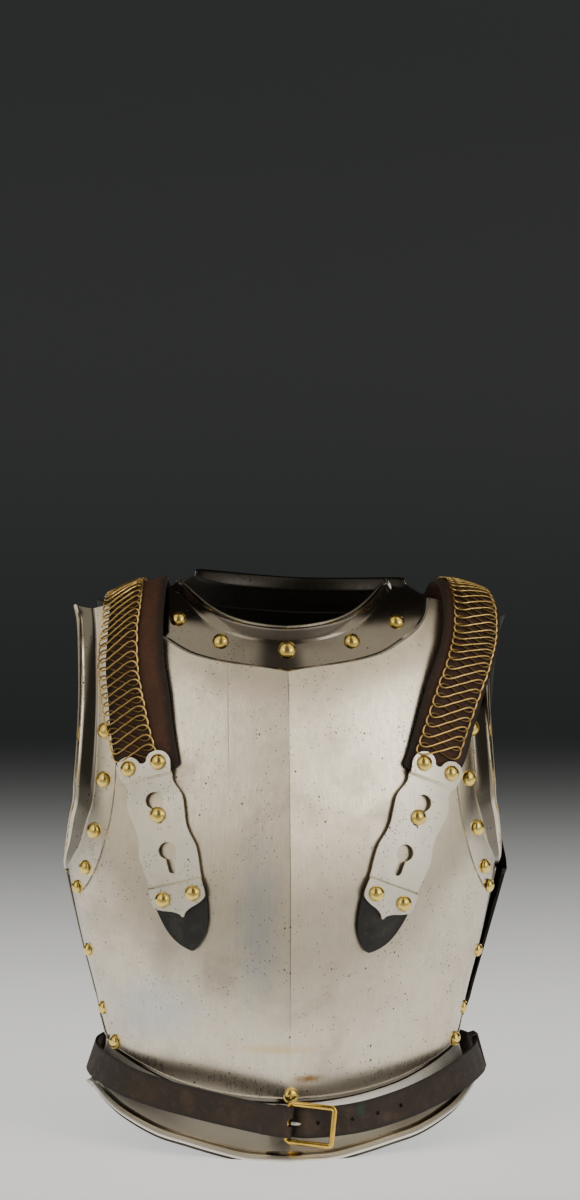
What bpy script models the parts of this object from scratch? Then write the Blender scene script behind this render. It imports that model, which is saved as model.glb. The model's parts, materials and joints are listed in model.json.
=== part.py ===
# Cuirass: a ridged steel breastplate and a backplate, joined by two leather shoulder straps
# that carry brass chain bands, and by a buckled leather waist belt.
import math

import bmesh
import bpy
from mathutils import Vector
from mathutils.bvhtree import BVHTree

mm = 0.001

# Overall sizes
plate_height = 463 * mm
chest_half_width = 183 * mm
chest_depth = 140 * mm
back_depth = 106 * mm
chest_thickness = 2.8 * mm
back_thickness = 1.6 * mm
side_gap = 3 * mm
ridge_slack = 0.22
ridge_blend = 30 * mm
border_step = 1.2 * mm
step_share = 0.1
neck_flare = 11 * mm
arm_flare = 13 * mm
flare_turn = math.radians(78)
skirt_reach = 29 * mm
bead_height = 1.8 * mm
back_lean = 0.041

# Leather and chain
leather_thickness = 3 * mm
belt_thickness = 2.6 * mm
belt_width = 24 * mm
chain_height = 3.4 * mm
chain_pitch = 7.2 * mm
piece_gap = 0.3 * mm

# Hasps
hasp_length = 133 * mm
hasp_half_width = 21 * mm
hasp_thickness = 1.8 * mm
hasp_gap = 3.2 * mm
tab_gap = 2 * mm
loose_fit = 0.86 * mm

# Rivets
dome_diameter = 13.2 * mm
dome_height = 5.2 * mm
stud_head = 13 * mm

# Buckle
buckle_width = 41 * mm
buckle_height = 34.4 * mm
buckle_bar = 4.4 * mm
buckle_rise = 3.4 * mm


def table(columns, rows):
    return [dict(zip(columns.split(), row)) for row in rows]


chest_sections = table(
    "level half_width depth shoulder_x shoulder_depth",
    [
        (0.065, 0.770, 0.857, 1, 0.62),
        (0.099, 0.787, 0.882, 1, 0.62),
        (0.173, 0.820, 0.932, 1, 0.62),
        (0.259, 0.869, 0.975, 1, 0.62),
        (0.346, 0.926, 0.996, 1, 0.62),
        (0.432, 0.973, 1.000, 1, 0.62),
        (0.486, 0.995, 0.993, 1, 0.62),
        (0.562, 1.000, 0.971, 1, 0.62),
        (0.648, 0.995, 0.929, 1, 0.62),
        (0.734, 0.984, 0.868, 1, 0.61),
        (0.821, 0.973, 0.764, 1, 0.60),
        (0.886, 0.967, 0.636, 1, 0.60),
        (0.929, 0.962, 0.493, 1, 0.60),
        (0.961, 0.956, 0.329, 1, 0.60),
        (0.989, 0.945, 0.143, 1, 0.60),
        (1.011, 0.929, 0.057, 1, 0.60),
    ],
)
back_sections = table(
    "level half_width depth shoulder_x shoulder_depth",
    [
        (0.065, 0.770, 0.774, 1, 0.60),
        (0.173, 0.820, 0.830, 1, 0.60),
        (0.259, 0.869, 0.887, 1, 0.60),
        (0.346, 0.923, 0.943, 1, 0.60),
        (0.432, 0.973, 0.981, 1, 0.60),
        (0.486, 0.995, 0.995, 1, 0.60),
        (0.648, 0.995, 1.000, 1, 0.58),
        (0.734, 0.984, 0.991, 0.98, 0.55),
        (0.821, 0.973, 0.962, 0.94, 0.48),
        (0.886, 0.967, 0.925, 0.88, 0.38),
        (0.929, 0.962, 0.877, 0.84, 0.30),
        (0.961, 0.956, 0.830, 0.80, 0.22),
        (0.989, 0.945, 0.774, 0.76, 0.16),
        (1.015, 0.929, 0.717, 0.74, 0.12),
    ],
)
chest_neck = table(
    "crease_x crease_level step_x step_level flare",
    [
        (0.000, 0.836, 0.000, 0.883, 1.000),
        (0.093, 0.842, 0.093, 0.886, 1.000),
        (0.219, 0.848, 0.197, 0.893, 1.000),
        (0.328, 0.855, 0.284, 0.906, 0.955),
        (0.437, 0.867, 0.361, 0.925, 0.909),
        (0.530, 0.888, 0.426, 0.950, 0.818),
        (0.601, 0.909, 0.470, 0.970, 0.727),
        (0.648, 0.935, 0.500, 0.978, 0.636),
        (0.667, 0.965, 0.508, 0.989, 0.545),
    ],
)
back_neck = table(
    "crease_x crease_level step_x step_level flare",
    [
        (0.000, 0.938, 0.000, 0.979, 0.818),
        (0.109, 0.939, 0.109, 0.980, 0.818),
        (0.246, 0.941, 0.240, 0.982, 0.818),
        (0.355, 0.944, 0.339, 0.984, 0.818),
        (0.448, 0.950, 0.415, 0.988, 0.727),
        (0.508, 0.957, 0.464, 0.992, 0.636),
        (0.541, 0.965, 0.486, 0.995, 0.545),
        (0.563, 0.974, 0.500, 0.998, 0.455),
        (0.585, 0.983, 0.510, 1.000, 0.364),
    ],
)
arm_lines = table(
    "crease_x crease_level step_x step_level flare",
    [
        (0.787, 0.168, 0.814, 0.177, 0.115),
        (0.814, 0.238, 0.869, 0.251, 0.115),
        (0.863, 0.313, 0.929, 0.339, 0.115),
        (0.902, 0.374, 0.967, 0.408, 0.138),
        (0.926, 0.428, 0.992, 0.469, 0.231),
        (0.885, 0.456, 0.967, 0.499, 0.462),
        (0.842, 0.492, 0.932, 0.525, 0.692),
        (0.809, 0.533, 0.902, 0.564, 0.846),
        (0.781, 0.579, 0.874, 0.600, 0.923),
        (0.765, 0.626, 0.861, 0.637, 1.000),
        (0.757, 0.674, 0.852, 0.691, 1.000),
        (0.749, 0.745, 0.847, 0.773, 1.000),
        (0.743, 0.832, 0.850, 0.860, 1.000),
        (0.749, 0.901, 0.855, 0.914, 1.000),
        (0.760, 0.959, 0.863, 0.948, 1.000),
    ],
)
armpit_share = 4 / 14
chest_waist = table(
    "x level rim_level rim_out",
    [
        (0.000, 0.100, 0.000, 1.000),
        (0.137, 0.100, 0.000, 1.000),
        (0.273, 0.104, 0.010, 1.000),
        (0.393, 0.112, 0.021, 0.966),
        (0.519, 0.125, 0.033, 0.897),
        (0.656, 0.146, 0.058, 0.759),
        (0.738, 0.160, 0.078, 0.621),
        (0.787, 0.168, 0.089, 0.517),
    ],
)
back_waist = table(
    "x level rim_level rim_out",
    [
        (0.000, 0.130, 0.000, 0.828),
        (0.137, 0.130, 0.000, 0.828),
        (0.273, 0.132, 0.010, 0.828),
        (0.393, 0.136, 0.022, 0.828),
        (0.519, 0.143, 0.037, 0.759),
        (0.656, 0.153, 0.060, 0.655),
        (0.738, 0.162, 0.079, 0.586),
        (0.787, 0.168, 0.089, 0.517),
    ],
)
# Skirt profile: shares of the way out and of the way down, and of the bead's height
skirt_profile = table(
    "out down bead",
    [
        (-0.05, 0.04, 0),
        (-0.08, 0.14, 0),
        (0.02, 0.34, 0),
        (0.34, 0.66, 0),
        (0.76, 0.90, 0),
        (0.84, 0.935, 0.9),
        (0.94, 0.98, 1),
        (1.00, 1.00, 0),
    ],
)


def spline(keys, values, at):
    """Cubic steps through the values, flat beyond the ends."""
    if at <= keys[0]:
        return values[0]
    if at >= keys[-1]:
        return values[-1]
    last = len(keys) - 2
    step = max(k for k in range(last + 1) if keys[k] <= at)

    def slope(k):
        before, after = max(k - 1, 0), min(k + 1, len(keys) - 1)
        return (values[after] - values[before]) / (keys[after] - keys[before])

    width = keys[step + 1] - keys[step]
    t = (at - keys[step]) / width
    start, end = values[step], values[step + 1]
    rise = slope(step) * width
    fall = slope(step + 1) * width
    return (
        (2 * t**3 - 3 * t**2 + 1) * start
        + (t**3 - 2 * t**2 + t) * rise
        + (3 * t**2 - 2 * t**3) * end
        + (t**3 - t**2) * fall
    )


def by_key(rows, key, at, column):
    return spline([row[key] for row in rows], [row[column] for row in rows], at)


def by_share(rows, share, column):
    last = len(rows) - 1
    return spline([k / last for k in range(last + 1)], [row[column] for row in rows], share)


def bezier(a, b, c, d, t):
    s = 1 - t
    return s**3 * a + 3 * s * s * t * b + 3 * s * t * t * c + t**3 * d


# A plate is worked out in its own half space: x from the middle to the side, depth outwards

def section(plate, level):
    rows = plate["sections"]
    share = level / plate_height
    half = by_key(rows, "level", share, "half_width") * chest_half_width
    depth = by_key(rows, "level", share, "depth") * plate["depth"]
    corner_x = by_key(rows, "level", share, "shoulder_x") * half
    corner = by_key(rows, "level", share, "shoulder_depth") * depth
    return half, depth, corner_x, corner


def surface(plate, u, level):
    half, depth, corner_x, corner = section(plate, level)
    x = bezier(0, 0.55 * half, corner_x, half, u)
    outward = bezier(depth, depth * (1 - plate["slack"]), corner, 0, u)
    return Vector((x, side_gap + outward, level))


def across_at(plate, x, level):
    """Where along the section a given distance from the middle falls."""
    low, high = 0.0, 1.0
    for _ in range(24):
        middle = (low + high) / 2
        if surface(plate, middle, level).x < x:
            low = middle
        else:
            high = middle
    return (low + high) / 2


def surface_normal(plate, u, level):
    small = 0.004
    along = surface(plate, min(u + small, 1), level) - surface(plate, max(u - small, 0), level)
    up = surface(plate, u, level + mm) - surface(plate, u, level - mm)
    if u < small:
        along.y = 0
    return up.cross(along).normalized()


def border_surface(plate, x, level):
    """The recessed border lies inside the panel and has no ridge."""
    u = across_at(plate, x, level)
    point = surface(plate, u, level)
    half, depth, _, _ = section(plate, level)
    slope = plate["slack"] * depth / (0.55 * half) * (1 - 0.1)
    if x < ridge_blend and plate["slack"] > 0.1:
        point.y -= slope * (ridge_blend - x) ** 2 / (2 * ridge_blend)
    return point - surface_normal(plate, u, level) * border_step


def line_point(rows, share, name):
    x = by_share(rows, share, name + "_x") * chest_half_width
    level = by_share(rows, share, name + "_level") * plate_height
    return max(x, 0), level


def border_row(plate, rows, share, flare_size):
    """Points across one border: panel edge, foot of the step, band, and the flared gutter."""
    crease_x, crease_level = line_point(rows, share, "crease")
    step_x, step_level = line_point(rows, share, "step")
    edge = surface(plate, across_at(plate, crease_x, crease_level), crease_level)
    points = [edge]
    flare_steps = plate["steps"]["flare"]
    for part in (step_share, 0.55, 1.0):
        x = crease_x + (step_x - crease_x) * part
        level = crease_level + (step_level - crease_level) * part
        points.append(border_surface(plate, x, level))
    end = points[-1]
    onward = (end - points[-2]).normalized()
    u = across_at(plate, step_x, step_level)
    outward = surface_normal(plate, u, step_level)
    outward = (outward - onward * outward.dot(onward)).normalized()
    radius = by_share(rows, share, "flare") * flare_size
    for k in range(1, flare_steps + 1):
        turn = flare_turn * k / flare_steps
        points.append(end + radius * (math.sin(turn) * onward + (1 - math.cos(turn)) * outward))
    return points


def skirt_row(plate, top, x_share, outward):
    rows = plate["waist"]
    rim_level = by_key(rows, "x", x_share, "rim_level") * plate_height
    out = by_key(rows, "x", x_share, "rim_out") * skirt_reach
    down = top.z - rim_level
    slope = (outward * down + Vector((0, 0, 1)) * out).normalized()
    points = []
    for row in skirt_profile:
        point = top + outward * out * row["out"] - Vector((0, 0, down * row["down"]))
        points.append((point, slope * row["bead"] * bead_height))
    return points


class Sheet:
    """An open surface whose equal corners are joined."""

    def __init__(self):
        self.points = []
        self.lifts = []
        self.faces = []
        self.rims = set()
        self.index = {}

    def corner(self, point, lift=None, rim=False):
        key = tuple(round(value / (0.01 * mm)) for value in point)
        if key not in self.index:
            self.index[key] = len(self.points)
            self.points.append(Vector(point))
            self.lifts.append(Vector(lift) if lift else Vector())
        found = self.index[key]
        if rim:
            self.rims.add(found)
        return found

    def grid(self, rows):
        """Rows of corner numbers."""
        for below, above in zip(rows, rows[1:]):
            for k in range(len(below) - 1):
                face = [below[k], below[k + 1], above[k + 1], above[k]]
                face = [c for n, c in enumerate(face) if c != face[n - 1]]
                if len(set(face)) > 2:
                    self.faces.append(face)


def placed(plate, side, point):
    """From the half space to the real place: left or right, front or back."""
    x = point.x * side
    level = point.z
    if plate["facing"] > 0:
        rise = level / plate_height
        x += back_lean * level
        level -= back_lean * point.x * side * rise**2
    return Vector((x, plate["facing"] * point.y, level))


def panel_rows(plate):
    """The smooth panel between the ridge, the waist, the side and arm border, and the neck."""
    neck_steps, shoulder_steps = plate["steps"]["neck"], plate["steps"]["shoulder"]
    across = neck_steps + shoulder_steps
    upright = plate["steps"]["side"] + plate["steps"]["arm"]
    neck_end = line_point(plate["neck"], 1, "crease")
    arm_end = line_point(plate["arm"], 1, "crease")
    waist_end = plate["waist"][-1]["x"]

    def u_at(x, level):
        return Vector((across_at(plate, x, level), level))

    def top(i):
        if i <= neck_steps:
            x, level = line_point(plate["neck"], i / neck_steps, "crease")
        else:
            part = (i - neck_steps) / shoulder_steps
            x = neck_end[0] + (arm_end[0] - neck_end[0]) * part
            level = neck_end[1] + (arm_end[1] - neck_end[1]) * part
        return u_at(x, level) if x > 0.01 * mm else Vector((0, level))

    def bottom(i):
        share = waist_end * i / across
        level = by_key(plate["waist"], "x", share, "level") * plate_height
        return u_at(share * chest_half_width, level) if i else Vector((0, level))

    def right(j):
        return u_at(*line_point(plate["arm"], arm_share(plate, j), "crease"))

    low, high = bottom(0), top(0)
    tops = [top(i) for i in range(across + 1)]
    bottoms = [bottom(i) for i in range(across + 1)]
    rows = []
    for j in range(upright + 1):
        t = j / upright
        left, edge = low.lerp(high, t), right(j)
        row = []
        for i in range(across + 1):
            s = i / across
            flat = bottoms[i].lerp(tops[i], t) + left.lerp(edge, s)
            corners = bottoms[0].lerp(bottoms[-1], s).lerp(tops[0].lerp(tops[-1], s), t)
            spot = flat - corners
            row.append(surface(plate, max(spot.x, 0), spot.y))
        rows.append(row)
    return rows


def arm_share(plate, j):
    side_steps, arm_steps = plate["steps"]["side"], plate["steps"]["arm"]
    if j <= side_steps:
        return armpit_share * j / side_steps
    return armpit_share + (1 - armpit_share) * (j - side_steps) / arm_steps


def plate_sheet(plate):
    sheet = Sheet()
    neck_steps = plate["steps"]["neck"]
    across = neck_steps + plate["steps"]["shoulder"]
    upright = plate["steps"]["side"] + plate["steps"]["arm"]
    panel = panel_rows(plate)
    neck = [border_row(plate, plate["neck"], i / neck_steps, neck_flare) for i in range(neck_steps + 1)]
    arm = [
        border_row(plate, plate["arm"], arm_share(plate, j), arm_flare) for j in range(upright + 1)
    ]
    for i, row in enumerate(neck):
        row[0] = panel[-1][i]
    for point in neck[0]:
        point.x = 0
    for j, row in enumerate(arm):
        row[0] = panel[j][-1]
    waist = [panel[0][i] for i in range(across + 1)] + arm[0][1:]
    skirts = []
    for i, top in enumerate(waist):
        before, after = waist[max(i - 1, 0)], waist[min(i + 1, len(waist) - 1)]
        outward = Vector((before.y - after.y, after.x - before.x, 0)).normalized()
        if i == 0:
            outward = Vector((0, 1, 0))
        if i > across:
            outward = Vector((1, 0.06, 0)).normalized()
        share = min(top.x / chest_half_width, plate["waist"][-1]["x"])
        if plate["slack"] > 0.1 and i < 3:
            outward = Vector((outward.x * 0.6, outward.y, 0)).normalized()
        skirts.append(skirt_row(plate, top, share, outward))
    for side in (1, -1):
        def corners(points):
            return [sheet.corner(placed(plate, side, point)) for point in points]

        sheet.grid([corners(row) for row in panel])
        sheet.grid([corners(row) for row in neck])
        sheet.grid([corners(row) for row in arm])
        skirt = []
        for top, row in zip(waist, skirts):
            line = [sheet.corner(placed(plate, side, top))]
            for point, lift in row:
                spot = placed(plate, side, point)
                raised = placed(plate, side, point + lift) - spot
                line.append(sheet.corner(spot, raised, row[-1][0] is point))
            skirt.append(line)
        sheet.grid(skirt)
    return sheet


def sheet_normals(sheet, rounds):
    """Outward directions at each corner, evened out over the neighbours."""
    work = bmesh.new()
    corners = [work.verts.new(point) for point in sheet.points]
    for face in sheet.faces:
        work.faces.new([corners[k] for k in face])
    bmesh.ops.recalc_face_normals(work, faces=work.faces[:])
    work.normal_update()
    normals = [corner.normal.copy() for corner in corners]
    work.verts.index_update()
    near = [[edge.other_vert(corner).index for edge in corner.link_edges] for corner in corners]
    faces = [[corner.index for corner in face.verts] for face in work.faces]
    work.free()
    for _ in range(rounds):
        summed = [sum((normals[n] for n in near[k]), normals[k] * 2) for k in range(len(normals))]
        normals = [total.normalized() for total in summed]
    return normals, faces


def thickened(name, sheet, thickness, inside, rounds=2):
    """A closed solid whose outer side is the sheet. `inside` is a point that the sheet faces away from."""
    normals, faces = sheet_normals(sheet, rounds)
    toward = sum(normals[k].dot(sheet.points[k] - inside(sheet.points[k])) for k in range(len(normals)))
    if toward < 0:
        normals = [-normal for normal in normals]
        faces = [face[::-1] for face in faces]
    outer = [point + lift for point, lift in zip(sheet.points, sheet.lifts)]
    inner = []
    for k, point in enumerate(sheet.points):
        shift = normals[k] * thickness
        if k in sheet.rims:
            shift = Vector((shift.x, shift.y, 0)).normalized() * thickness
        inner.append(point - shift)
    count = len(outer)
    used = {}
    for face in faces:
        for a, b in zip(face, face[1:] + face[:1]):
            used[(a, b)] = True
    walls = [(b, a, a + count, b + count) for a, b in used if (b, a) not in used]
    solid = faces + [[k + count for k in reversed(face)] for face in faces] + walls
    return make_object(name, outer + inner, solid)


def make_object(name, points, faces):
    mesh = bpy.data.meshes.new(name)
    mesh.from_pydata([tuple(point) for point in points], [], [list(face) for face in faces])
    work = bmesh.new()
    work.from_mesh(mesh)
    bmesh.ops.triangulate(work, faces=[face for face in work.faces if len(face.verts) > 3])
    bmesh.ops.recalc_face_normals(work, faces=work.faces[:])
    if work.calc_volume(signed=True) < 0:
        bmesh.ops.reverse_faces(work, faces=work.faces[:])
    work.to_mesh(mesh)
    work.free()
    mesh.set_sharp_from_angle(angle=math.radians(32))
    made = bpy.data.objects.new(name, mesh)
    bpy.context.scene.collection.objects.link(made)
    for polygon in mesh.polygons:
        polygon.use_smooth = True
    return made


def tree_of(made):
    return BVHTree.FromPolygons(
        [corner.co.copy() for corner in made.data.vertices],
        [list(polygon.vertices) for polygon in made.data.polygons],
    )


# Strips: straps, belts, hasps and tabs are rows across a length, with an optional hole in the middle

def strip_sheet(stations, outer, hole, place, columns=3):
    sheet = Sheet()
    for side in (-1, 1):
        rows = []
        for t in stations:
            inner_edge, outer_edge = hole(t), outer(t)
            row = []
            for k in range(columns + 1):
                w = inner_edge + (outer_edge - inner_edge) * k / columns
                row.append(sheet.corner(place(t, side * w)))
            rows.append(row)
        sheet.grid(rows)
    return sheet


def chest_spot(x, level, lift):
    """A point above the breastplate's panel, and the direction away from it."""
    side = 1 if x >= 0 else -1
    u = across_at(chest, abs(x), level)
    point = surface(chest, u, level)
    normal = surface_normal(chest, u, level)
    spot = point + normal * lift
    return placed(chest, side, spot), placed(chest, side, normal)


chest = {
    "sections": chest_sections,
    "neck": chest_neck,
    "arm": arm_lines,
    "waist": chest_waist,
    "depth": chest_depth,
    "slack": ridge_slack,
    "facing": -1,
    "steps": {"neck": 8, "shoulder": 1, "side": 4, "arm": 8, "flare": 3},
}
back = {
    "sections": back_sections,
    "neck": back_neck,
    "arm": arm_lines,
    "waist": back_waist,
    "depth": back_depth,
    "slack": 0.02,
    "facing": 1,
    "steps": {"neck": 6, "shoulder": 1, "side": 3, "arm": 7, "flare": 2},
}


def torso_axis(point):
    return Vector((0, 0, point.z))


def build_plates():
    front = thickened("breastplate", plate_sheet(chest), chest_thickness, torso_axis)
    rear = thickened("backplate", plate_sheet(back), back_thickness, torso_axis)
    return front, rear


# Shoulder straps: inner and outer edges, front end first. A lift means above the chest or the back

strap_columns = "inner_x inner_level outer_x outer_level depth lift behind"
strap_rows = {
    "left": table(
        strap_columns,
        [
            (-0.481, 0.668, -0.716, 0.646, None, 1.1, 0.145),
            (-0.492, 0.690, -0.765, 0.676, None, 1.6, 0.17),
            (-0.514, 0.743, -0.787, 0.734, None, 2.2, 0.17),
            (-0.530, 0.797, -0.798, 0.788, None, 3.0, 0.17),
            (-0.552, 0.850, -0.809, 0.840, None, 4.0, 0.16),
            (-0.555, 0.909, -0.803, 0.890, None, 5.0, 0.13),
            (-0.545, 0.965, -0.795, 0.933, -0.40, None, 0.04),
            (-0.535, 0.996, -0.784, 0.962, -0.25, None, -0.02),
            (-0.525, 1.005, -0.776, 0.970, -0.04, None, 0),
            (-0.525, 1.007, -0.772, 0.972, 0.14, None, 0),
            (-0.520, 1.004, -0.762, 0.972, 0.32, None, 0),
            (-0.505, 0.976, -0.745, 0.950, 0.46, None, -0.05),
            (-0.475, 0.928, -0.715, 0.905, None, 3.6, -0.12),
            (-0.440, 0.868, -0.680, 0.853, None, 2.2, -0.15),
            (-0.410, 0.810, -0.650, 0.803, None, 0.6, -0.17),
        ],
    ),
    "right": table(
        strap_columns,
        [
            (0.503, 0.666, 0.743, 0.636, None, 1.2, 0.15),
            (0.536, 0.691, 0.803, 0.676, None, 1.5, 0.16),
            (0.579, 0.745, 0.847, 0.735, None, 2.0, 0.14),
            (0.628, 0.804, 0.896, 0.793, None, 3.0, 0.12),
            (0.683, 0.856, 0.945, 0.845, None, 5.0, 0.11),
            (0.712, 0.905, 0.973, 0.884, -0.48, None, 0.08),
            (0.724, 0.952, 0.982, 0.926, -0.385, None, 0.03),
            (0.721, 0.985, 0.978, 0.958, -0.23, None, 0),
            (0.719, 0.998, 0.975, 0.970, -0.04, None, 0),
            (0.716, 1.000, 0.971, 0.972, 0.14, None, 0),
            (0.710, 0.998, 0.962, 0.972, 0.32, None, 0),
            (0.695, 0.972, 0.940, 0.950, 0.46, None, -0.05),
            (0.665, 0.926, 0.905, 0.903, None, 3.6, -0.12),
            (0.620, 0.868, 0.860, 0.853, None, 2.2, -0.15),
            (0.585, 0.810, 0.825, 0.803, None, 0.6, -0.17),
        ],
    ),
}
strap_front_rows = 9
strap_stations = 30
strap_crown = 1.6 * mm
lift_unit = 2 * mm


def plate_spot(plate, x, level, lift):
    if plate["facing"] > 0:
        x = x - back_lean * level
    side = 1 if x >= 0 else -1
    u = across_at(plate, abs(x), level)
    spot = surface(plate, u, level) + surface_normal(plate, u, level) * lift
    return placed(plate, side, spot)


def strap_edges(side):
    """Inner and outer edge points through the rows of one strap."""
    inner, outer = [], []
    for number, row in enumerate(strap_rows[side]):
        plate = chest if number < strap_front_rows else back
        edges = []
        for name in ("inner", "outer"):
            x = row[name + "_x"] * chest_half_width
            level = row[name + "_level"] * plate_height
            if row["depth"] is None:
                lift = row["lift"] * lift_unit + leather_thickness
                edges.append(plate_spot(plate, x, level, lift))
            else:
                edges.append(Vector((x, row["depth"] * chest_depth, level)))
            edges[-1].x = x
        if row["behind"] is not None:
            edges[1].y = edges[0].y + row["behind"] * chest_depth
            edges[1].z = row["outer_level"] * plate_height
        inner.append(edges[0])
        outer.append(edges[1])
    return inner, outer


def point_spline(points, share):
    last = len(points) - 1
    keys = [k / last for k in range(last + 1)]
    return Vector([spline(keys, [point[axis] for point in points], share) for axis in range(3)])


def strap_place(side):
    inner, outer = strap_edges(side)

    def flat(share, w):
        return point_spline(inner, share).lerp(point_spline(outer, share), w)

    def place(share, w):
        """w runs from 0 at the inner edge to 1 at the outer edge, with a slight crown between."""
        crown = strap_crown * max(4 * w * (1 - w), 0)
        return flat(share, w) + strap_normal(flat, share, 0.5) * crown

    return place


def strap_normal(place, share, w):
    small = 0.004
    along = place(min(share + small, 1), w) - place(max(share - small, 0), w)
    across = place(share, w + 0.1) - place(share, w - 0.1)
    normal = along.cross(across).normalized()
    reference = place(share, w) - Vector((0, 0.02, 0.33))
    return normal if normal.dot(reference) > 0 else -normal


def end_half_width(share):
    """The strap's ends are rounded off."""
    rounding = 0.04
    near = min(share, 1 - share) / rounding
    if near >= 1:
        return 0.5
    return 0.5 * (0.55 + 0.45 * math.sqrt(1 - (1 - near) ** 2))


def build_straps():
    for side in ("left", "right"):
        place = strap_place(side)
        stations = [k / strap_stations for k in range(strap_stations + 1)]
        sheet = strip_sheet(
            stations, end_half_width, lambda t: 0, lambda t, w: place(t, 0.5 + w), columns=1
        )
        thickened(
            "shoulder_strap_" + side, sheet, leather_thickness,
            lambda point: Vector((point.x * 0.8, 0.02, 0.33)), rounds=1,
        )


# Chain bands: a woven band that follows the strap, nearer its outer edge

chain_edges = {"left": (0.36, 1.06), "right": (0.17, 0.93)}
chain_span = {"left": (0.1, 0.93), "right": (0.1, 0.93)}
weave_columns = 2
chain_gap = 0.8 * mm


def build_chains():
    for side in ("left", "right"):
        place = strap_place(side)
        start, stop = chain_span[side]
        low, high = chain_edges[side]
        length = sum(
            (place((k + 1) / 60, 0.5) - place(k / 60, 0.5)).length for k in range(60)
        ) * (stop - start)
        rows = round(length / chain_pitch) * 2
        outer, inner = [], []
        for k in range(rows + 1):
            share = start + (stop - start) * k / rows
            ridge = chain_height * (1.0 if k % 2 else 0.62)
            top, base = [], []
            for c in range(weave_columns + 1):
                w = low + (high - low) * c / weave_columns
                spot = place(share, w)
                normal = strap_normal(place, share, w)
                top.append(spot + normal * (chain_gap + ridge))
                base.append(spot + normal * chain_gap)
            outer.append(top)
            inner.append(base)
        band_object("chain_band_" + side, outer, inner)


def band_object(name, tops, bases):
    points, faces = [], []
    columns = len(tops[0])
    for row in tops:
        points.extend(row)
    for row in bases:
        points.extend(row)
    half = len(tops) * columns
    for j in range(len(tops) - 1):
        for i in range(columns - 1):
            a = j * columns + i
            face = [a, a + 1, a + columns + 1, a + columns]
            faces.append(face)
            faces.append([k + half for k in reversed(face)])
        for edge in (0, columns - 1):
            a = j * columns + edge
            face = [a, a + columns, a + columns + half, a + half]
            faces.append(face if edge == 0 else face[::-1])
    for j in (0, len(tops) - 1):
        for i in range(columns - 1):
            a = j * columns + i
            face = [a, a + half, a + 1 + half, a + 1]
            faces.append(face if j == 0 else face[::-1])
    return make_object(name, points, faces)


# Hasps: t runs along the hasp from the tops of the lobes to the small tip

hasp_width = table(
    "t half",
    [
        (0.000, 0.57), (0.012, 0.80), (0.035, 0.95), (0.071, 1.02), (0.143, 0.93),
        (0.195, 0.88), (0.289, 1.07), (0.376, 1.02), (0.451, 0.95), (0.511, 0.97),
        (0.600, 1.09), (0.692, 1.06), (0.774, 1.00), (0.827, 1.01), (0.873, 1.02),
        (0.905, 0.98), (0.925, 0.86), (0.942, 0.62), (0.955, 0.36), (0.975, 0.14),
        (1.000, 0.03),
    ],
)
hasp_ends = {
    "left": {"top": (-0.620, 0.670), "foot": (-0.473, 0.448)},
    "right": {"top": (0.648, 0.663), "foot": (0.429, 0.443)},
}
lobe_radius = 9.6 * mm
lobe_offset = 12 * mm
notch_depth = 0.062
keyhole_spots = (0.288, 0.596)
keyhole_radius = 7 * mm
slot_half = 2.9 * mm
slot_length = 18.5 * mm
upper_step = (0.142, 0.156)
lower_step = (0.786, 0.8)
upper_rivet_t = 0.071
lower_rivet_t = 0.873
stud_t = 0.374
hasp_stations = sorted(
    [row["t"] for row in hasp_width]
    + [0.03, 0.05, notch_depth, 0.09, 0.115, *upper_step, 0.17, 0.22]
    + [spot + part for spot in keyhole_spots for part in (
        -0.0526, -0.044, -0.024, 0.0, 0.024, 0.042, 0.0485, 0.122, 0.134, 0.14)]
    + [0.46, 0.49, *lower_step, 0.85]
)


def hasp_half(t):
    return by_key(hasp_width, "t", t, "half") * hasp_half_width


def hasp_hole(t):
    """Half width of the opening in the middle: the notch between the lobes, or a keyhole."""
    if t < notch_depth - 1e-6:
        above = max(lobe_radius - t * hasp_length, 0)
        return max(lobe_offset - math.sqrt(max(lobe_radius**2 - above**2, 0)), 0.3 * mm)
    for spot in keyhole_spots:
        along = (t - spot) * hasp_length
        round_part = math.sqrt(max(keyhole_radius**2 - along**2, 0))
        slot = 0
        if 0 < along < slot_length:
            cap = max(along - (slot_length - slot_half), 0)
            slot = math.sqrt(max(slot_half**2 - cap**2, 0))
        if max(round_part, slot) > 0.05 * mm:
            return max(round_part, slot)
    return 0


def stepped(t):
    """How far the hasp stands up: over the strap's end, near the plate, over the tab."""
    high = 3.2 * mm + leather_thickness + 2 * piece_gap
    low = hasp_gap
    tab = tab_gap + leather_thickness + loose_fit
    rise = min(max((upper_step[1] - t) / (upper_step[1] - upper_step[0]), 0), 1)
    fall = min(max((t - lower_step[0]) / (lower_step[1] - lower_step[0]), 0), 1)
    return low + (high - low) * rise + (tab - low) * fall


def hasp_frame(side):
    """Top and foot rivet middles, and the directions along and across, in the front view."""
    ends = hasp_ends[side]
    top = Vector((ends["top"][0] * chest_half_width, ends["top"][1] * plate_height))
    foot = Vector((ends["foot"][0] * chest_half_width, ends["foot"][1] * plate_height))
    along = (foot - top).normalized()
    scale = (foot - top).length / (hasp_length * (lower_rivet_t - upper_rivet_t))
    origin = top - along * upper_rivet_t * hasp_length * scale
    across = Vector((-along.y, along.x))
    return origin, along * scale, across


def hasp_place(side, lift):
    origin, along, across = hasp_frame(side)

    def place(t, w):
        flat = origin + along * (t * hasp_length) + across * w
        spot, _ = chest_spot(flat.x, flat.y, lift(t))
        return spot

    return place


def build_hasps():
    for side in ("left", "right"):
        place = hasp_place(side, lambda t: stepped(t) + hasp_thickness)
        sheet = strip_sheet(hasp_stations, hasp_half, hasp_hole, place, columns=1)
        thickened("hasp_" + side, sheet, hasp_thickness, torso_axis, rounds=0)


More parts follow.
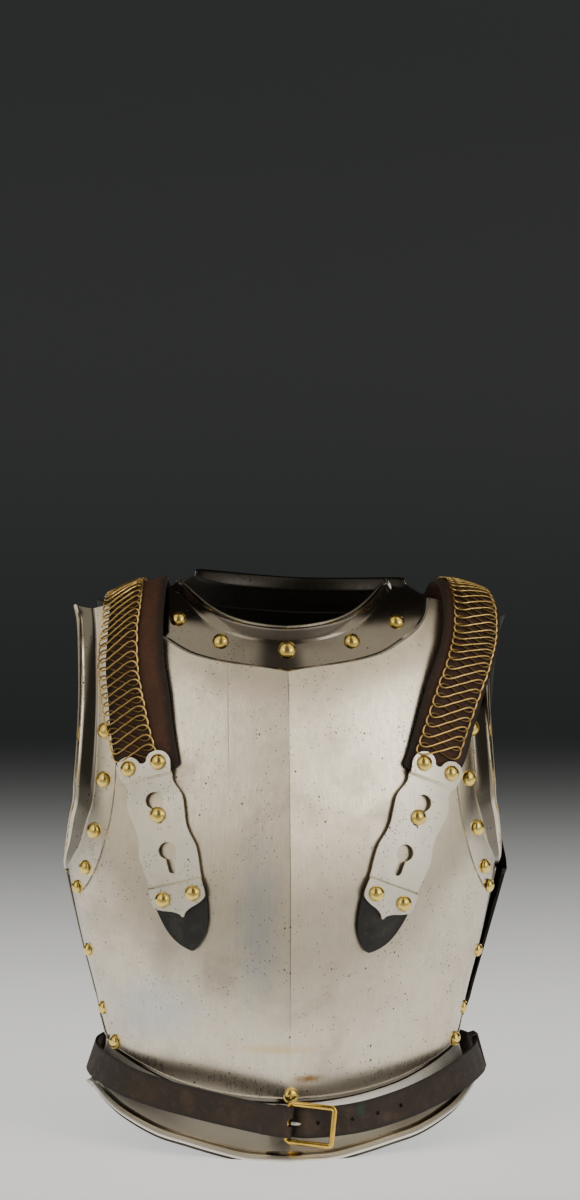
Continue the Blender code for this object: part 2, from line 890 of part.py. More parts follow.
tab_width = table(
    "t half",
    [
        (0.818, 0.80), (0.830, 0.93), (0.860, 0.96), (0.900, 0.96), (0.950, 0.93),
        (1.000, 0.87), (1.060, 0.77), (1.120, 0.60), (1.165, 0.39), (1.195, 0.19),
        (1.212, 0.04),
    ],
)


def build_tabs():
    for side in ("left", "right"):
        place = hasp_place(side, lambda t: tab_gap + leather_thickness)
        stations = [row["t"] for row in tab_width] + [0.925, 0.975, 1.03, 1.09, 1.145]
        sheet = strip_sheet(
            sorted(stations),
            lambda t: by_key(tab_width, "t", t, "half") * hasp_half_width,
            lambda t: 0,
            place,
            columns=1,
        )
        thickened("leather_tab_" + side, sheet, leather_thickness - 0.2 * mm, torso_axis, rounds=0)


# Belt: middle line in plan, its level, and how far its lower edge leans out

belt_path = table(
    "x depth level lean",
    [
        (-0.6585, 0.5514, 0.140, 0.10),
        (-0.790, 0.354, 0.141, 0.22),
        (-0.858, 0.1004, 0.142, 0.30),
        (-0.880, -0.13, 0.139, 0.34),
        (-0.840, -0.36, 0.131, 0.30),
        (-0.735, -0.6, 0.118, 0.26),
        (-0.600, -0.775, 0.106, 0.22),
        (-0.440, -0.905, 0.0945, 0.18),
        (-0.230, -1.005, 0.079, 0.12),
        (-0.030, -1.06, 0.0655, 0.06),
        (0.120, -1.05, 0.0635, 0.06),
        (0.300, -0.995, 0.069, 0.12),
        (0.490, -0.88, 0.083, 0.18),
        (0.640, -0.745, 0.099, 0.22),
        (0.780, -0.545, 0.116, 0.28),
        (0.880, -0.29, 0.127, 0.32),
        (0.922, -0.08, 0.133, 0.32),
        (0.899, 0.1506, 0.136, 0.26),
        (0.826, 0.3566, 0.139, 0.22),
        (0.7095, 0.5329, 0.140, 0.12),
    ],
)
fold_radius = 4.4 * mm
fold_share = 0.478
tongue_share = 0.448
belt_steps = 26
hole_shares = (0.572, 0.602, 0.632)
hole_radius = 1.6 * mm


def belt_frame(share):
    """Middle point, direction along, direction up the belt's width, and outward normal."""
    def middle(s):
        x = by_share(belt_path, s, "x") * chest_half_width
        depth = by_share(belt_path, s, "depth")
        y = depth * (chest_depth if depth < 0 else back_depth)
        level = by_share(belt_path, s, "level") * plate_height
        return Vector((x, y, level))

    small = 0.004
    along = (middle(min(share + small, 1)) - middle(max(share - small, 0))).normalized()
    flat = Vector((along.y, -along.x, 0)).normalized()
    lean = by_share(belt_path, share, "lean")
    up = Vector((0, 0, 1)) - flat * lean
    up = (up - along * up.dot(along)).normalized()
    normal = along.cross(up).normalized()
    if normal.dot(flat) < 0:
        normal = -normal
    return middle(share), along, up, normal


def belt_place(offset):
    def place(share, w):
        middle, _, up, normal = belt_frame(share)
        return middle + up * w + normal * offset(share)

    return place


def belt_half(share):
    return belt_width / 2


def build_belt():
    buckle_side = [fold_share * k / belt_steps for k in range(belt_steps + 1)]
    sheet = strip_sheet(buckle_side, belt_half, lambda t: 0, belt_place(lambda s: 0), columns=1)
    fold_columns(sheet)
    thickened("belt_buckle_side", sheet, belt_thickness, torso_axis, rounds=0)
    build_tongue()
    build_keeper()


def fold_columns(sheet):
    """The end wraps round the buckle's bar and comes back behind, with a slot for the prong."""
    middle, along, up, normal = belt_frame(fold_share)
    radius = fold_radius
    centre = middle - normal * radius
    turns = [math.pi * k / 6 for k in range(7)]
    slot_half_height = 3 * mm
    points = []
    for turn in turns:
        offset = along * (radius * math.sin(turn)) + normal * (radius * math.cos(turn))
        points.append((centre + offset, 0 < turn < 2.7))
    back_end = centre - normal * radius - along * 20 * mm
    points.append((back_end, False))
    for sign in (-1, 1):
        rows = []
        for point, slotted in points:
            inner = slot_half_height if slotted else 0
            rows.append([
                sheet.corner(point + up * (sign * inner)),
                sheet.corner(point + up * (sign * belt_width / 2)),
            ])
        sheet.grid(rows)


def build_tongue():
    def offset(share):
        """Behind the buckle's bars, and behind the fold at its end."""
        near = min(max((0.595 - share) / 0.045, 0), 1)
        return -2.9 * mm * near - 7.6 * mm * min(max((0.508 - share) / 0.024, 0), 1)

    def hole(share):
        for spot in hole_shares + (0.527,):
            along = abs(share - spot) * 640 * mm
            if along < hole_radius - 1e-6:
                return math.sqrt(hole_radius**2 - along**2)
        return 0

    step = hole_radius / (640 * mm)
    stations = [tongue_share + (1 - tongue_share) * k / belt_steps for k in range(belt_steps + 1)]
    for spot in hole_shares + (0.527,):
        stations = [s for s in stations if abs(s - spot) > step * 1.3]
        stations += [spot + step * part for part in (-1, -0.7, 0, 0.7, 1)]

    def half(share):
        near = min((share - tongue_share) / 0.012, 1)
        return belt_width / 2 * (0.35 + 0.65 * math.sqrt(max(near, 0)))

    sheet = strip_sheet(sorted(stations), half, hole, belt_place(offset), columns=1)
    thickened("belt_tongue_side", sheet, belt_thickness, torso_axis, rounds=0)


def build_keeper():
    """A leather loop round the belt near its right end."""
    share = 0.868
    middle, along, up, normal = belt_frame(share)
    half_height = belt_width / 2 + 3.2 * mm
    wall = 1.6 * mm
    out_near = 0.4 * mm
    in_near = -belt_thickness - 0.9 * mm
    ring_outer = [
        (half_height, out_near + wall), (-half_height, out_near + wall),
        (-half_height, in_near - wall), (half_height, in_near - wall),
    ]
    inner_height = half_height - wall
    ring_inner = [
        (inner_height, out_near), (-inner_height, out_near),
        (-inner_height, in_near), (inner_height, in_near),
    ]
    points = []
    for shift in (-6 * mm, 6 * mm):
        for ring in (ring_outer, ring_inner):
            for high, out in ring:
                points.append(middle + along * shift + up * high + normal * out)
    faces = []
    for k in range(4):
        n = (k + 1) % 4
        faces.append([k, n, n + 8, k + 8])
        faces.append([k + 4, k + 12, n + 12, n + 4])
        faces.append([k, k + 4, n + 4, n])
        faces.append([k + 8, n + 8, n + 12, k + 12])
    make_object("belt_keeper", points, faces)


def build_buckle():
    middle, along, up, normal = belt_frame(fold_share)
    bar = middle - normal * fold_radius
    centre = bar + along * (buckle_width / 2 - buckle_bar / 2) + normal * buckle_rise
    half_w = (buckle_width - buckle_bar) / 2
    half_h = (buckle_height - buckle_bar) / 2
    corner = 2.5 * mm
    loop = []
    for sx, sy, start in ((1, 1, 0), (-1, 1, 90), (-1, -1, 180), (1, -1, 270)):
        for turn in (0, 45, 90):
            angle = math.radians(start + turn)
            x = sx * (half_w - corner) + corner * math.cos(angle)
            y = sy * (half_h - corner) + corner * math.sin(angle)
            loop.append((x, y))
    points, faces = [], []
    sides = 8
    count = len(loop)
    for k, (x, y) in enumerate(loop):
        before, after = Vector(loop[k - 1]), Vector(loop[(k + 1) % count])
        way = (after - before).normalized()
        outward = Vector((way.y, -way.x))
        thin = 0.62 if x < -half_w + 2 * mm else 1
        tilt = normal * ((half_w - x) / (2 * half_w) * -buckle_rise)
        for s in range(sides):
            angle = 2 * math.pi * s / sides
            radius = buckle_bar / 2 * thin
            flat = Vector((x, y)) + outward * radius * math.cos(angle)
            spot = centre + along * flat.x + up * flat.y + tilt
            points.append(spot + normal * radius * 0.8 * math.sin(angle))
    for k in range(count):
        n = (k + 1) % count
        for s in range(sides):
            m = (s + 1) % sides
            faces.append([k * sides + s, k * sides + m, n * sides + m, n * sides + s])
    make_object("buckle_frame", points, faces)
    build_prong(bar, along, normal)


def build_prong(bar, along, normal):
    """A short steel prong: a lump on the bar and a pin that dips into the tongue."""
    path = [(1.8, 0.4), (3.4, 2.2), (6.4, 2.6), (9.4, 1.4), (11.2, 0.2)]
    radii = [0.9, 1.4, 1.5, 1.3, 0.6]
    sides = 8
    _, _, up, _ = belt_frame(fold_share)
    points, faces = [], []
    for (forward, out), radius in zip(path, radii):
        centre = bar + along * forward * mm + normal * (out + 1.2) * mm
        for s in range(sides):
            angle = 2 * math.pi * s / sides
            points.append(centre + up * (radius * mm * math.cos(angle)) + normal * (radius * mm * math.sin(angle)))
    for k in range(len(path) - 1):
        for s in range(sides):
            m = (s + 1) % sides
            faces.append([k * sides + s, k * sides + m, (k + 1) * sides + m, (k + 1) * sides + s])
    faces.append(list(range(sides))[::-1])
    faces.append([(len(path) - 1) * sides + s for s in range(sides)])
    make_object("buckle_prong", points, faces)


# Rivets and studs

def lathe(name, profile, centre, axis, segments=8):
    """A solid of revolution. The profile is (radius, height) from the base to the top."""
    axis = axis.normalized()
    side = axis.orthogonal().normalized()
    other = axis.cross(side)
    points, faces, rings = [], [], []
    for radius, height in profile:
        middle = centre + axis * height
        if radius < 1e-6:
            rings.append([len(points)])
            points.append(middle)
            continue
        ring = []
        for k in range(segments):
            angle = 2 * math.pi * k / segments
            ring.append(len(points))
            points.append(middle + side * (radius * math.cos(angle)) + other * (radius * math.sin(angle)))
        rings.append(ring)
    for low, high in zip(rings, rings[1:]):
        for k in range(segments):
            n = (k + 1) % segments
            if len(low) == 1:
                faces.append([low[0], high[n], high[k]])
            elif len(high) == 1:
                faces.append([low[k], low[n], high[0]])
            else:
                faces.append([low[k], low[n], high[n], high[k]])
    return make_object(name, points, faces)


def dome(name, centre, axis, diameter=dome_diameter, height=dome_height):
    radius = diameter / 2
    profile = [(0, 0), (radius, 0), (radius * 0.93, height * 0.45), (radius * 0.6, height * 0.86), (0, height)]
    return lathe(name, profile, centre, axis)


def seated_dome(name, tree, start, toward, diameter=dome_diameter, height=dome_height):
    """Drops a dome on a faceted face, clear of every facet under it."""
    spot, normal, _, _ = tree.ray_cast(start, toward)
    if normal.dot(toward) > 0:
        normal = -normal
    side = normal.orthogonal().normalized()
    other = normal.cross(side)
    highest = 0
    for k in range(16):
        angle = 2 * math.pi * k / 16
        for reach in (0.5, 0.8, 1.0):
            away = (side * math.cos(angle) + other * math.sin(angle)) * diameter / 2 * reach
            hit, _, _, _ = tree.ray_cast(spot + away + normal * 6 * mm, -normal, 12 * mm)
            if hit:
                highest = max(highest, (hit - spot).dot(normal))
    return dome(name, spot + normal * (highest + 0.2 * mm), normal, diameter, height)


chest_rivets = table(
    "name x level away_x away_depth size",
    [
        ("neck_rivet_1", -0.486, 0.927, -0.35, -1, 1.0),
        ("neck_rivet_2", -0.296, 0.888, -0.2, -1, 1.0),
        ("neck_rivet_3", 0.000, 0.873, 0, -1, 1.1),
        ("neck_rivet_4", 0.296, 0.888, 0.2, -1, 1.0),
        ("neck_rivet_5", 0.508, 0.922, 0.35, -1, 1.0),
        ("arm_rivet_left_1", -0.816, 0.730, -0.7, -1, 1.0),
        ("arm_rivet_left_2", -0.822, 0.644, -0.8, -1, 1.0),
        ("arm_rivet_left_3", -0.865, 0.553, -1, -1, 1.0),
        ("arm_rivet_left_4", -0.905, 0.486, -1, -0.8, 0.9),
        ("arm_rivet_right_1", 0.840, 0.732, 0.7, -1, 1.0),
        ("arm_rivet_right_2", 0.832, 0.644, 0.8, -1, 1.0),
        ("arm_rivet_right_3", 0.872, 0.555, 1, -1, 1.0),
        ("arm_rivet_right_4", 0.912, 0.484, 1, -0.8, 0.9),
        ("side_rivet_left_1", -0.886, 0.336, -1, -0.35, 0.86),
        ("side_rivet_left_2", -0.824, 0.230, -1, -0.35, 0.86),
        ("side_rivet_left_3", -0.944, 0.448, -1, -0.35, 0.86),
        ("side_rivet_right_1", 0.886, 0.330, 1, -0.35, 0.86),
        ("side_rivet_right_2", 0.824, 0.226, 1, -0.35, 0.86),
        ("side_rivet_right_3", 0.936, 0.447, 1, -0.35, 0.86),
        ("waist_stud_left", -0.765, 0.172, -1, -0.8, 0.95),
        ("waist_stud_right", 0.775, 0.172, 1, -0.8, 0.95),
    ],
)


def build_chest_rivets(tree):
    for row in chest_rivets:
        target, normal = chest_spot(row["x"] * chest_half_width, row["level"] * plate_height, 0)
        away = Vector((row["away_x"], row["away_depth"], 0)).normalized()
        start = target + away * 30 * mm
        size = row["size"]
        seated_dome(row["name"], tree, start, -away, dome_diameter * size, dome_height * size)
    centre = Vector((1 * mm, -170 * mm, 0.1035 * plate_height))
    seated_dome("waist_stud_centre", tree, centre, Vector((0, 1, 0)), dome_diameter, dome_height)


def build_hasp_rivets():
    for side in ("left", "right"):
        number = 0
        plate_tree = tree_of(bpy.data.objects["hasp_" + side])
        place = hasp_place(side, lambda t: 30 * mm)
        low = hasp_place(side, lambda t: 0)
        for t in (upper_rivet_t, lower_rivet_t):
            for w in (-lobe_offset, lobe_offset):
                number += 1
                start, end = place(t, w), low(t, w)
                seated_dome(
                    f"hasp_rivet_{side}_{number}", plate_tree, start, (end - start).normalized(),
                    dome_diameter * 0.97, dome_height * 1.08,
                )
        base, top = low(stud_t, 0), place(stud_t, 0)
        axis = (top - base).normalized()
        stem = 2.2 * mm
        under = hasp_gap + hasp_thickness + 0.5 * mm
        head = stud_head / 2
        profile = [
            (0, 0.25 * mm), (stem, 0.25 * mm), (stem, under), (head, under),
            (head * 0.95, under + 2.2 * mm), (head * 0.62, under + 4.4 * mm), (0, under + 5.2 * mm),
        ]
        lathe("hasp_stud_" + side, profile, base, axis)


def build_back_rivets():
    for side in ("left", "right"):
        strap_tree = tree_of(bpy.data.objects["shoulder_strap_" + side])
        place = strap_place(side)
        for number, w in ((1, 0.3), (2, 0.7)):
            spot = place(0.968, w)
            normal = strap_normal(place, 0.968, w)
            seated_dome(
                f"strap_rivet_{side}_{number}", strap_tree, spot + normal * 20 * mm, -normal,
                dome_diameter * 0.8, dome_height * 0.8,
            )
        name = "belt_buckle_side" if side == "left" else "belt_tongue_side"
        belt_tree = tree_of(bpy.data.objects[name])
        for number, offset in ((1, 0.012), (2, 0.036)):
            middle, _, _, normal = belt_frame(offset if side == "left" else 1 - offset)
            seated_dome(
                f"belt_rivet_{side}_{number}", belt_tree, middle + normal * 20 * mm, -normal,
                dome_diameter * 0.75, dome_height * 0.75,
            )
    back_tree = tree_of(bpy.data.objects["backplate"])
    for number, x in ((1, -0.27), (2, 0.0), (3, 0.27)):
        start = Vector((x * chest_half_width + back_lean * plate_height, 0.2, 0.952 * plate_height))
        seated_dome(f"back_neck_rivet_{number}", back_tree, start, Vector((0, -1, 0)))


# Materials

def material(name, colour, roughness, metallic):
    made = bpy.data.materials.new(name)
    made.use_nodes = True
    shader = made.node_tree.nodes["Principled BSDF"]
    shader.inputs["Base Color"].default_value = (*colour, 1)
    shader.inputs["Roughness"].default_value = roughness
    shader.inputs["Metallic"].default_value = metallic
    return made


finishes = table(
    "start name colour roughness metallic",
    [
        ("breastplate", "polished_steel", (0.62, 0.60, 0.56), 0.25, 1),
        ("backplate", "dark_steel", (0.25, 0.24, 0.23), 0.35, 1),
        ("hasp_left", "hasp_steel", (0.70, 0.69, 0.66), 0.40, 1),
        ("hasp_right", "hasp_steel", (0.70, 0.69, 0.66), 0.40, 1),
        ("shoulder_strap", "strap_leather", (0.10, 0.05, 0.035), 0.60, 0),
        ("leather_tab", "black_leather", (0.03, 0.03, 0.03), 0.50, 0),
        ("belt_rivet", "brass", (0.75, 0.52, 0.16), 0.25, 1),
        ("belt_", "belt_leather", (0.06, 0.045, 0.04), 0.55, 0),
        ("chain_band", "chain_brass", (0.62, 0.42, 0.14), 0.30, 1),
        ("buckle_frame", "buckle_brass", (0.78, 0.54, 0.16), 0.20, 1),
        ("buckle_prong", "prong_steel", (0.60, 0.60, 0.60), 0.30, 1),
        ("", "brass", (0.75, 0.52, 0.16), 0.25, 1),
    ],
)


def give_materials():
    made = {}
    for thing in bpy.context.scene.objects:
        row = next(row for row in finishes if thing.name.startswith(row["start"]))
        if row["name"] not in made:
            made[row["name"]] = material(row["name"], row["colour"], row["roughness"], row["metallic"])
        thing.data.materials.append(made[row["name"]])


def stand_on_base():
    """Flattens the two rims where they stand and puts the origin in the middle of the base."""
    corners = [vertex for thing in bpy.data.objects for vertex in thing.data.vertices]
    for vertex in corners:
        vertex.co.z = max(vertex.co.z, 0)
    across = [vertex.co.x for vertex in corners]
    deep = [vertex.co.y for vertex in corners]
    middle = Vector(((min(across) + max(across)) / 2, (min(deep) + max(deep)) / 2, 0))
    for vertex in corners:
        vertex.co -= middle


def main():
    for thing in list(bpy.data.objects):
        bpy.data.objects.remove(thing)
    front, _ = build_plates()
    build_straps()
    build_chains()
    build_hasps()
    build_tabs()
    build_belt()
    build_buckle()
    build_chest_rivets(tree_of(front))
    build_hasp_rivets()
    build_back_rivets()
    stand_on_base()
    give_materials()


main()
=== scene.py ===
import json
import math
import random
from bisect import bisect_right

import bmesh
import bpy
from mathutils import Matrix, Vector
from mathutils.bvhtree import BVHTree


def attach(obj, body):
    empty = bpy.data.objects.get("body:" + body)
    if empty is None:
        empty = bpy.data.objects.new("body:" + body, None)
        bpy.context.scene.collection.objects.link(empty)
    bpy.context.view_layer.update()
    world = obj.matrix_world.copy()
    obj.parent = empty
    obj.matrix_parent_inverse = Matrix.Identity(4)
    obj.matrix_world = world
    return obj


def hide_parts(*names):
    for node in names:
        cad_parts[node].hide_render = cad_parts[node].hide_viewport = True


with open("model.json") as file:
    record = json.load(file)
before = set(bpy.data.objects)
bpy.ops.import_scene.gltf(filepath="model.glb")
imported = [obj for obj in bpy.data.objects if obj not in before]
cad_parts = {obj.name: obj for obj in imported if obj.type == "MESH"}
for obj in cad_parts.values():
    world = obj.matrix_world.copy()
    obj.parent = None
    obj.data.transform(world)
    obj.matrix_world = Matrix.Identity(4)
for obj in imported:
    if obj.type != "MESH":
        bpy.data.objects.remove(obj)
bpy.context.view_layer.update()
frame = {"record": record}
detail = 1.0  # share of the full mesh density

mm = 0.001
fine = {}  # the fine pieces, by the names of the nodes that they replace

# Overall sizes
plateHeight = 463 * mm
chestHalfWidth = 183 * mm
chestDepth = 140 * mm
backDepth = 106 * mm
chestThickness = 2.8 * mm
backThickness = 1.6 * mm
sideGap = 3 * mm
ridgeSlack = 0.22
ridgeBlend = 30 * mm
ridgeSlope = 0.9
borderStep = 1.2 * mm
borderParts = (0.1, 0.2, 0.35, 0.5, 0.65, 0.8, 0.92, 1.0)  # the first is the foot of the step
neckFlare = 11 * mm
armFlare = 13 * mm
flareTurn = math.radians(78)
skirtReach = 29 * mm
beadHeight = 1.8 * mm
backLean = 0.041

# Leather and chain
leatherThickness = 3 * mm
beltThickness = 2.6 * mm
beltWidth = 24 * mm
beltLength = 640 * mm  # about what both halves measure along their middle line
chainPitch = 7.2 * mm
pieceGap = 0.3 * mm
strapInside = Vector((0, 0.02, 0.33))  # a place in the torso that the straps face away from

# Hasps
haspLength = 133 * mm
haspHalfWidth = 21 * mm
haspThickness = 1.8 * mm
haspGap = 3.2 * mm
tabGap = 2 * mm
looseFit = 0.86 * mm

# Rivets
domeDiameter = 13.2 * mm
domeHeight = 5.2 * mm
studHead = 13 * mm

# Buckle
buckleWidth = 41 * mm
buckleHeight = 34.4 * mm
buckleBar = 4.4 * mm
buckleRise = 3.4 * mm
buckleCorner = 2.5 * mm


def steps(count):
    return max(round(count * detail), 4)


def table(columns, rows):
    return [dict(zip(columns.split(), row)) for row in rows]


def clamped(value):
    return min(max(value, 0), 1)


chestSections = table(
    "level half_width depth shoulder_x shoulder_depth",
    [
        (0.065, 0.770, 0.857, 1, 0.62),
        (0.099, 0.787, 0.882, 1, 0.62),
        (0.173, 0.820, 0.932, 1, 0.62),
        (0.259, 0.869, 0.975, 1, 0.62),
        (0.346, 0.926, 0.996, 1, 0.62),
        (0.432, 0.973, 1.000, 1, 0.62),
        (0.486, 0.995, 0.993, 1, 0.62),
        (0.562, 1.000, 0.971, 1, 0.62),
        (0.648, 0.995, 0.929, 1, 0.62),
        (0.734, 0.984, 0.868, 1, 0.61),
        (0.821, 0.973, 0.764, 1, 0.60),
        (0.886, 0.967, 0.636, 1, 0.60),
        (0.929, 0.962, 0.493, 1, 0.60),
        (0.961, 0.956, 0.329, 1, 0.60),
        (0.989, 0.945, 0.143, 1, 0.60),
        (1.011, 0.929, 0.057, 1, 0.60),
    ],
)
backSections = table(
    "level half_width depth shoulder_x shoulder_depth",
    [
        (0.065, 0.770, 0.774, 1, 0.60),
        (0.173, 0.820, 0.830, 1, 0.60),
        (0.259, 0.869, 0.887, 1, 0.60),
        (0.346, 0.923, 0.943, 1, 0.60),
        (0.432, 0.973, 0.981, 1, 0.60),
        (0.486, 0.995, 0.995, 1, 0.60),
        (0.648, 0.995, 1.000, 1, 0.58),
        (0.734, 0.984, 0.991, 0.98, 0.55),
        (0.821, 0.973, 0.962, 0.94, 0.48),
        (0.886, 0.967, 0.925, 0.88, 0.38),
        (0.929, 0.962, 0.877, 0.84, 0.30),
        (0.961, 0.956, 0.830, 0.80, 0.22),
        (0.989, 0.945, 0.774, 0.76, 0.16),
        (1.015, 0.929, 0.717, 0.74, 0.12),
    ],
)
chestNeck = table(
    "crease_x crease_level step_x step_level flare",
    [
        (0.000, 0.836, 0.000, 0.883, 1.000),
        (0.093, 0.842, 0.093, 0.886, 1.000),
        (0.219, 0.848, 0.197, 0.893, 1.000),
        (0.328, 0.855, 0.284, 0.906, 0.955),
        (0.437, 0.867, 0.361, 0.925, 0.909),
        (0.530, 0.888, 0.426, 0.950, 0.818),
        (0.601, 0.909, 0.470, 0.970, 0.727),
        (0.648, 0.935, 0.500, 0.978, 0.636),
        (0.667, 0.965, 0.508, 0.989, 0.545),
    ],
)
backNeck = table(
    "crease_x crease_level step_x step_level flare",
    [
        (0.000, 0.938, 0.000, 0.979, 0.818),
        (0.109, 0.939, 0.109, 0.980, 0.818),
        (0.246, 0.941, 0.240, 0.982, 0.818),
        (0.355, 0.944, 0.339, 0.984, 0.818),
        (0.448, 0.950, 0.415, 0.988, 0.727),
        (0.508, 0.957, 0.464, 0.992, 0.636),
        (0.541, 0.965, 0.486, 0.995, 0.545),
        (0.563, 0.974, 0.500, 0.998, 0.455),
        (0.585, 0.983, 0.510, 1.000, 0.364),
    ],
)
armLines = table(
    "crease_x crease_level step_x step_level flare",
    [
        (0.787, 0.168, 0.814, 0.177, 0.115),
        (0.814, 0.238, 0.869, 0.251, 0.115),
        (0.863, 0.313, 0.929, 0.339, 0.115),
        (0.902, 0.374, 0.967, 0.408, 0.138),
        (0.926, 0.428, 0.992, 0.469, 0.231),
        (0.885, 0.456, 0.967, 0.499, 0.462),
        (0.842, 0.492, 0.932, 0.525, 0.692),
        (0.809, 0.533, 0.902, 0.564, 0.846),
        (0.781, 0.579, 0.874, 0.600, 0.923),
        (0.765, 0.626, 0.861, 0.637, 1.000),
        (0.757, 0.674, 0.852, 0.691, 1.000),
        (0.749, 0.745, 0.847, 0.773, 1.000),
        (0.743, 0.832, 0.850, 0.860, 1.000),
        (0.749, 0.901, 0.855, 0.914, 1.000),
        (0.760, 0.959, 0.863, 0.948, 1.000),
    ],
)
armpitShare = 4 / 14
chestWaist = table(
    "x level rim_level rim_out",
    [
        (0.000, 0.100, 0.000, 1.000),
        (0.137, 0.100, 0.000, 1.000),
        (0.273, 0.104, 0.010, 1.000),
        (0.393, 0.112, 0.021, 0.966),
        (0.519, 0.125, 0.033, 0.897),
        (0.656, 0.146, 0.058, 0.759),
        (0.738, 0.160, 0.078, 0.621),
        (0.787, 0.168, 0.089, 0.517),
    ],
)
backWaist = table(
    "x level rim_level rim_out",
    [
        (0.000, 0.130, 0.000, 0.828),
        (0.137, 0.130, 0.000, 0.828),
        (0.273, 0.132, 0.010, 0.828),
        (0.393, 0.136, 0.022, 0.828),
        (0.519, 0.143, 0.037, 0.759),
        (0.656, 0.153, 0.060, 0.655),
        (0.738, 0.162, 0.079, 0.586),
        (0.787, 0.168, 0.089, 0.517),
    ],
)
# The flare turns quickly at its foot, runs nearly straight and curls again at its lip
flareTurns = table(
    "share turn",
    [(0.0, 4), (0.16, 33), (0.3, 40), (0.72, 45), (0.86, 56), (1.0, 92)],
)
# How many rows the skirt has, how many of them lie in the groove, and which lie at the foot of the bead; the
# steel paints shade on the groove and bead-foot rows
skirtRows = {"count": 36, "groove": 5, "beadFoot": (20, 21)}
# Skirt profile: shares of the way out and of the way down, and of the bead's height
skirtProfile = table(
    "out down bead",
    [
        (-0.05, 0.04, 0),
        (-0.08, 0.14, 0),
        (0.02, 0.34, 0),
        (0.34, 0.66, 0),
        (0.76, 0.90, 0),
        (0.84, 0.935, 0.9),
        (0.94, 0.98, 1),
        (1.00, 1.00, 0),
    ],
)


def spline(keys, values, at):
    if at <= keys[0]:
        return values[0]
    if at >= keys[-1]:
        return values[-1]
    step = bisect_right(keys, at) - 1

    def slope(k):
        before, after = max(k - 1, 0), min(k + 1, len(keys) - 1)
        return (values[after] - values[before]) / (keys[after] - keys[before])

    width = keys[step + 1] - keys[step]
    t = (at - keys[step]) / width
    start, end = values[step], values[step + 1]
    rise = slope(step) * width
    fall = slope(step + 1) * width
    return (
        (2 * t**3 - 3 * t**2 + 1) * start
        + (t**3 - 2 * t**2 + t) * rise
        + (3 * t**2 - 2 * t**3) * end
        + (t**3 - t**2) * fall
    )


columnCache = {}


def columnOf(rows, name):
    key = (id(rows), name)
    if key not in columnCache:
        last = len(rows) - 1
        columnCache[key] = [k / last if name == "share" else row[name] for k, row in enumerate(rows)]
    return columnCache[key]


def byKey(rows, key, at, column):
    return spline(columnOf(rows, key), columnOf(rows, column), at)


def byShare(rows, share, column):
    return spline(columnOf(rows, "share"), columnOf(rows, column), share)


def bezier(a, b, c, d, t):
    s = 1 - t
    return s**3 * a + 3 * s * s * t * b + 3 * s * t * t * c + t**3 * d


# A plate is worked out in its own half space: x from the middle to the side, depth outwards

def section(plate, level):
    rows = plate["sections"]
    share = level / plateHeight
    half = byKey(rows, "level", share, "half_width") * chestHalfWidth
    depth = byKey(rows, "level", share, "depth") * plate["depth"]
    cornerX = byKey(rows, "level", share, "shoulder_x") * half
    corner = byKey(rows, "level", share, "shoulder_depth") * depth
    return half, depth, cornerX, corner


def surface(plate, u, level):
    half, depth, cornerX, corner = section(plate, level)
    x = bezier(0, 0.55 * half, cornerX, half, u)
    outward = bezier(depth, depth * (1 - plate["slack"]), corner, 0, u)
    return Vector((x, sideGap + outward, level))


def acrossAt(plate, x, level):
    low, high = 0.0, 1.0
    for _ in range(24):
        middle = (low + high) / 2
        if surface(plate, middle, level).x < x:
            low = middle
        else:
            high = middle
    return (low + high) / 2


def surfaceNormal(plate, u, level):
    small = 0.004
    along = surface(plate, min(u + small, 1), level) - surface(plate, max(u - small, 0), level)
    up = surface(plate, u, level + mm) - surface(plate, u, level - mm)
    if u < small:
        along.y = 0
    return up.cross(along).normalized()


def ridged(plate):
    return plate["slack"] > 0.1


def borderSurface(plate, x, level):
    u = acrossAt(plate, x, level)
    point = surface(plate, u, level)
    half, depth, _, _ = section(plate, level)
    slope = ridgeSlope * plate["slack"] * depth / (0.55 * half)
    if x < ridgeBlend and ridged(plate):
        point.y -= slope * (ridgeBlend - x) ** 2 / (2 * ridgeBlend)
    return point - surfaceNormal(plate, u, level) * borderStep


def linePoint(rows, share, name):
    x = byShare(rows, share, name + "_x") * chestHalfWidth
    level = byShare(rows, share, name + "_level") * plateHeight
    return max(x, 0), level


def borderRow(plate, rows, share, flareSize):
    creaseX, creaseLevel = linePoint(rows, share, "crease")
    stepX, stepLevel = linePoint(rows, share, "step")
    edge = surface(plate, acrossAt(plate, creaseX, creaseLevel), creaseLevel)
    points = [edge]
    flareSteps = plate["steps"]["flare"]
    for part in borderParts:
        x = creaseX + (stepX - creaseX) * part
        level = creaseLevel + (stepLevel - creaseLevel) * part
        points.append(borderSurface(plate, x, level))
    end = points[-1]
    onward = (end - points[-2]).normalized()
    u = acrossAt(plate, stepX, stepLevel)
    outward = surfaceNormal(plate, u, stepLevel)
    outward = (outward - onward * outward.dot(onward)).normalized()
    radius = byShare(rows, share, "flare") * flareSize
    spot = end
    length = radius * flareTurn
    for k in range(1, flareSteps + 1):
        turn = math.radians(byKey(flareTurns, "share", (k - 0.5) / flareSteps, "turn"))
        spot = spot + (math.cos(turn) * onward + math.sin(turn) * outward) * length / flareSteps
        points.append(spot)
    return points


def skirtRow(plate, top, xShare, outward):
    rows = plate["waist"]
    rimLevel = byKey(rows, "x", xShare, "rim_level") * plateHeight
    out = byKey(rows, "x", xShare, "rim_out") * skirtReach
    down = top.z - rimLevel
    slope = (outward * down + Vector((0, 0, 1)) * out).normalized()
    points = []
    count = steps(skirtRows["count"])
    for k in range(count + 1):
        row = {name: byShare(skirtProfile, k / count, name) for name in ("out", "down", "bead")}
        point = top + outward * out * row["out"] - Vector((0, 0, down * row["down"]))
        points.append((point, slope * row["bead"] * beadHeight))
    return points


# Marks on the plates' points, which the steel reads: the panel, each stretch round it and the inside
zones = {"panel": 0.0, "neck": 1.0, "arm": 0.7, "groove": 0.85, "flange": 0.3, "inside": -1.0}
# the steel darkens this trough with painted shade
troughShare = 0.72  # how much of an arm flare is its dark trough


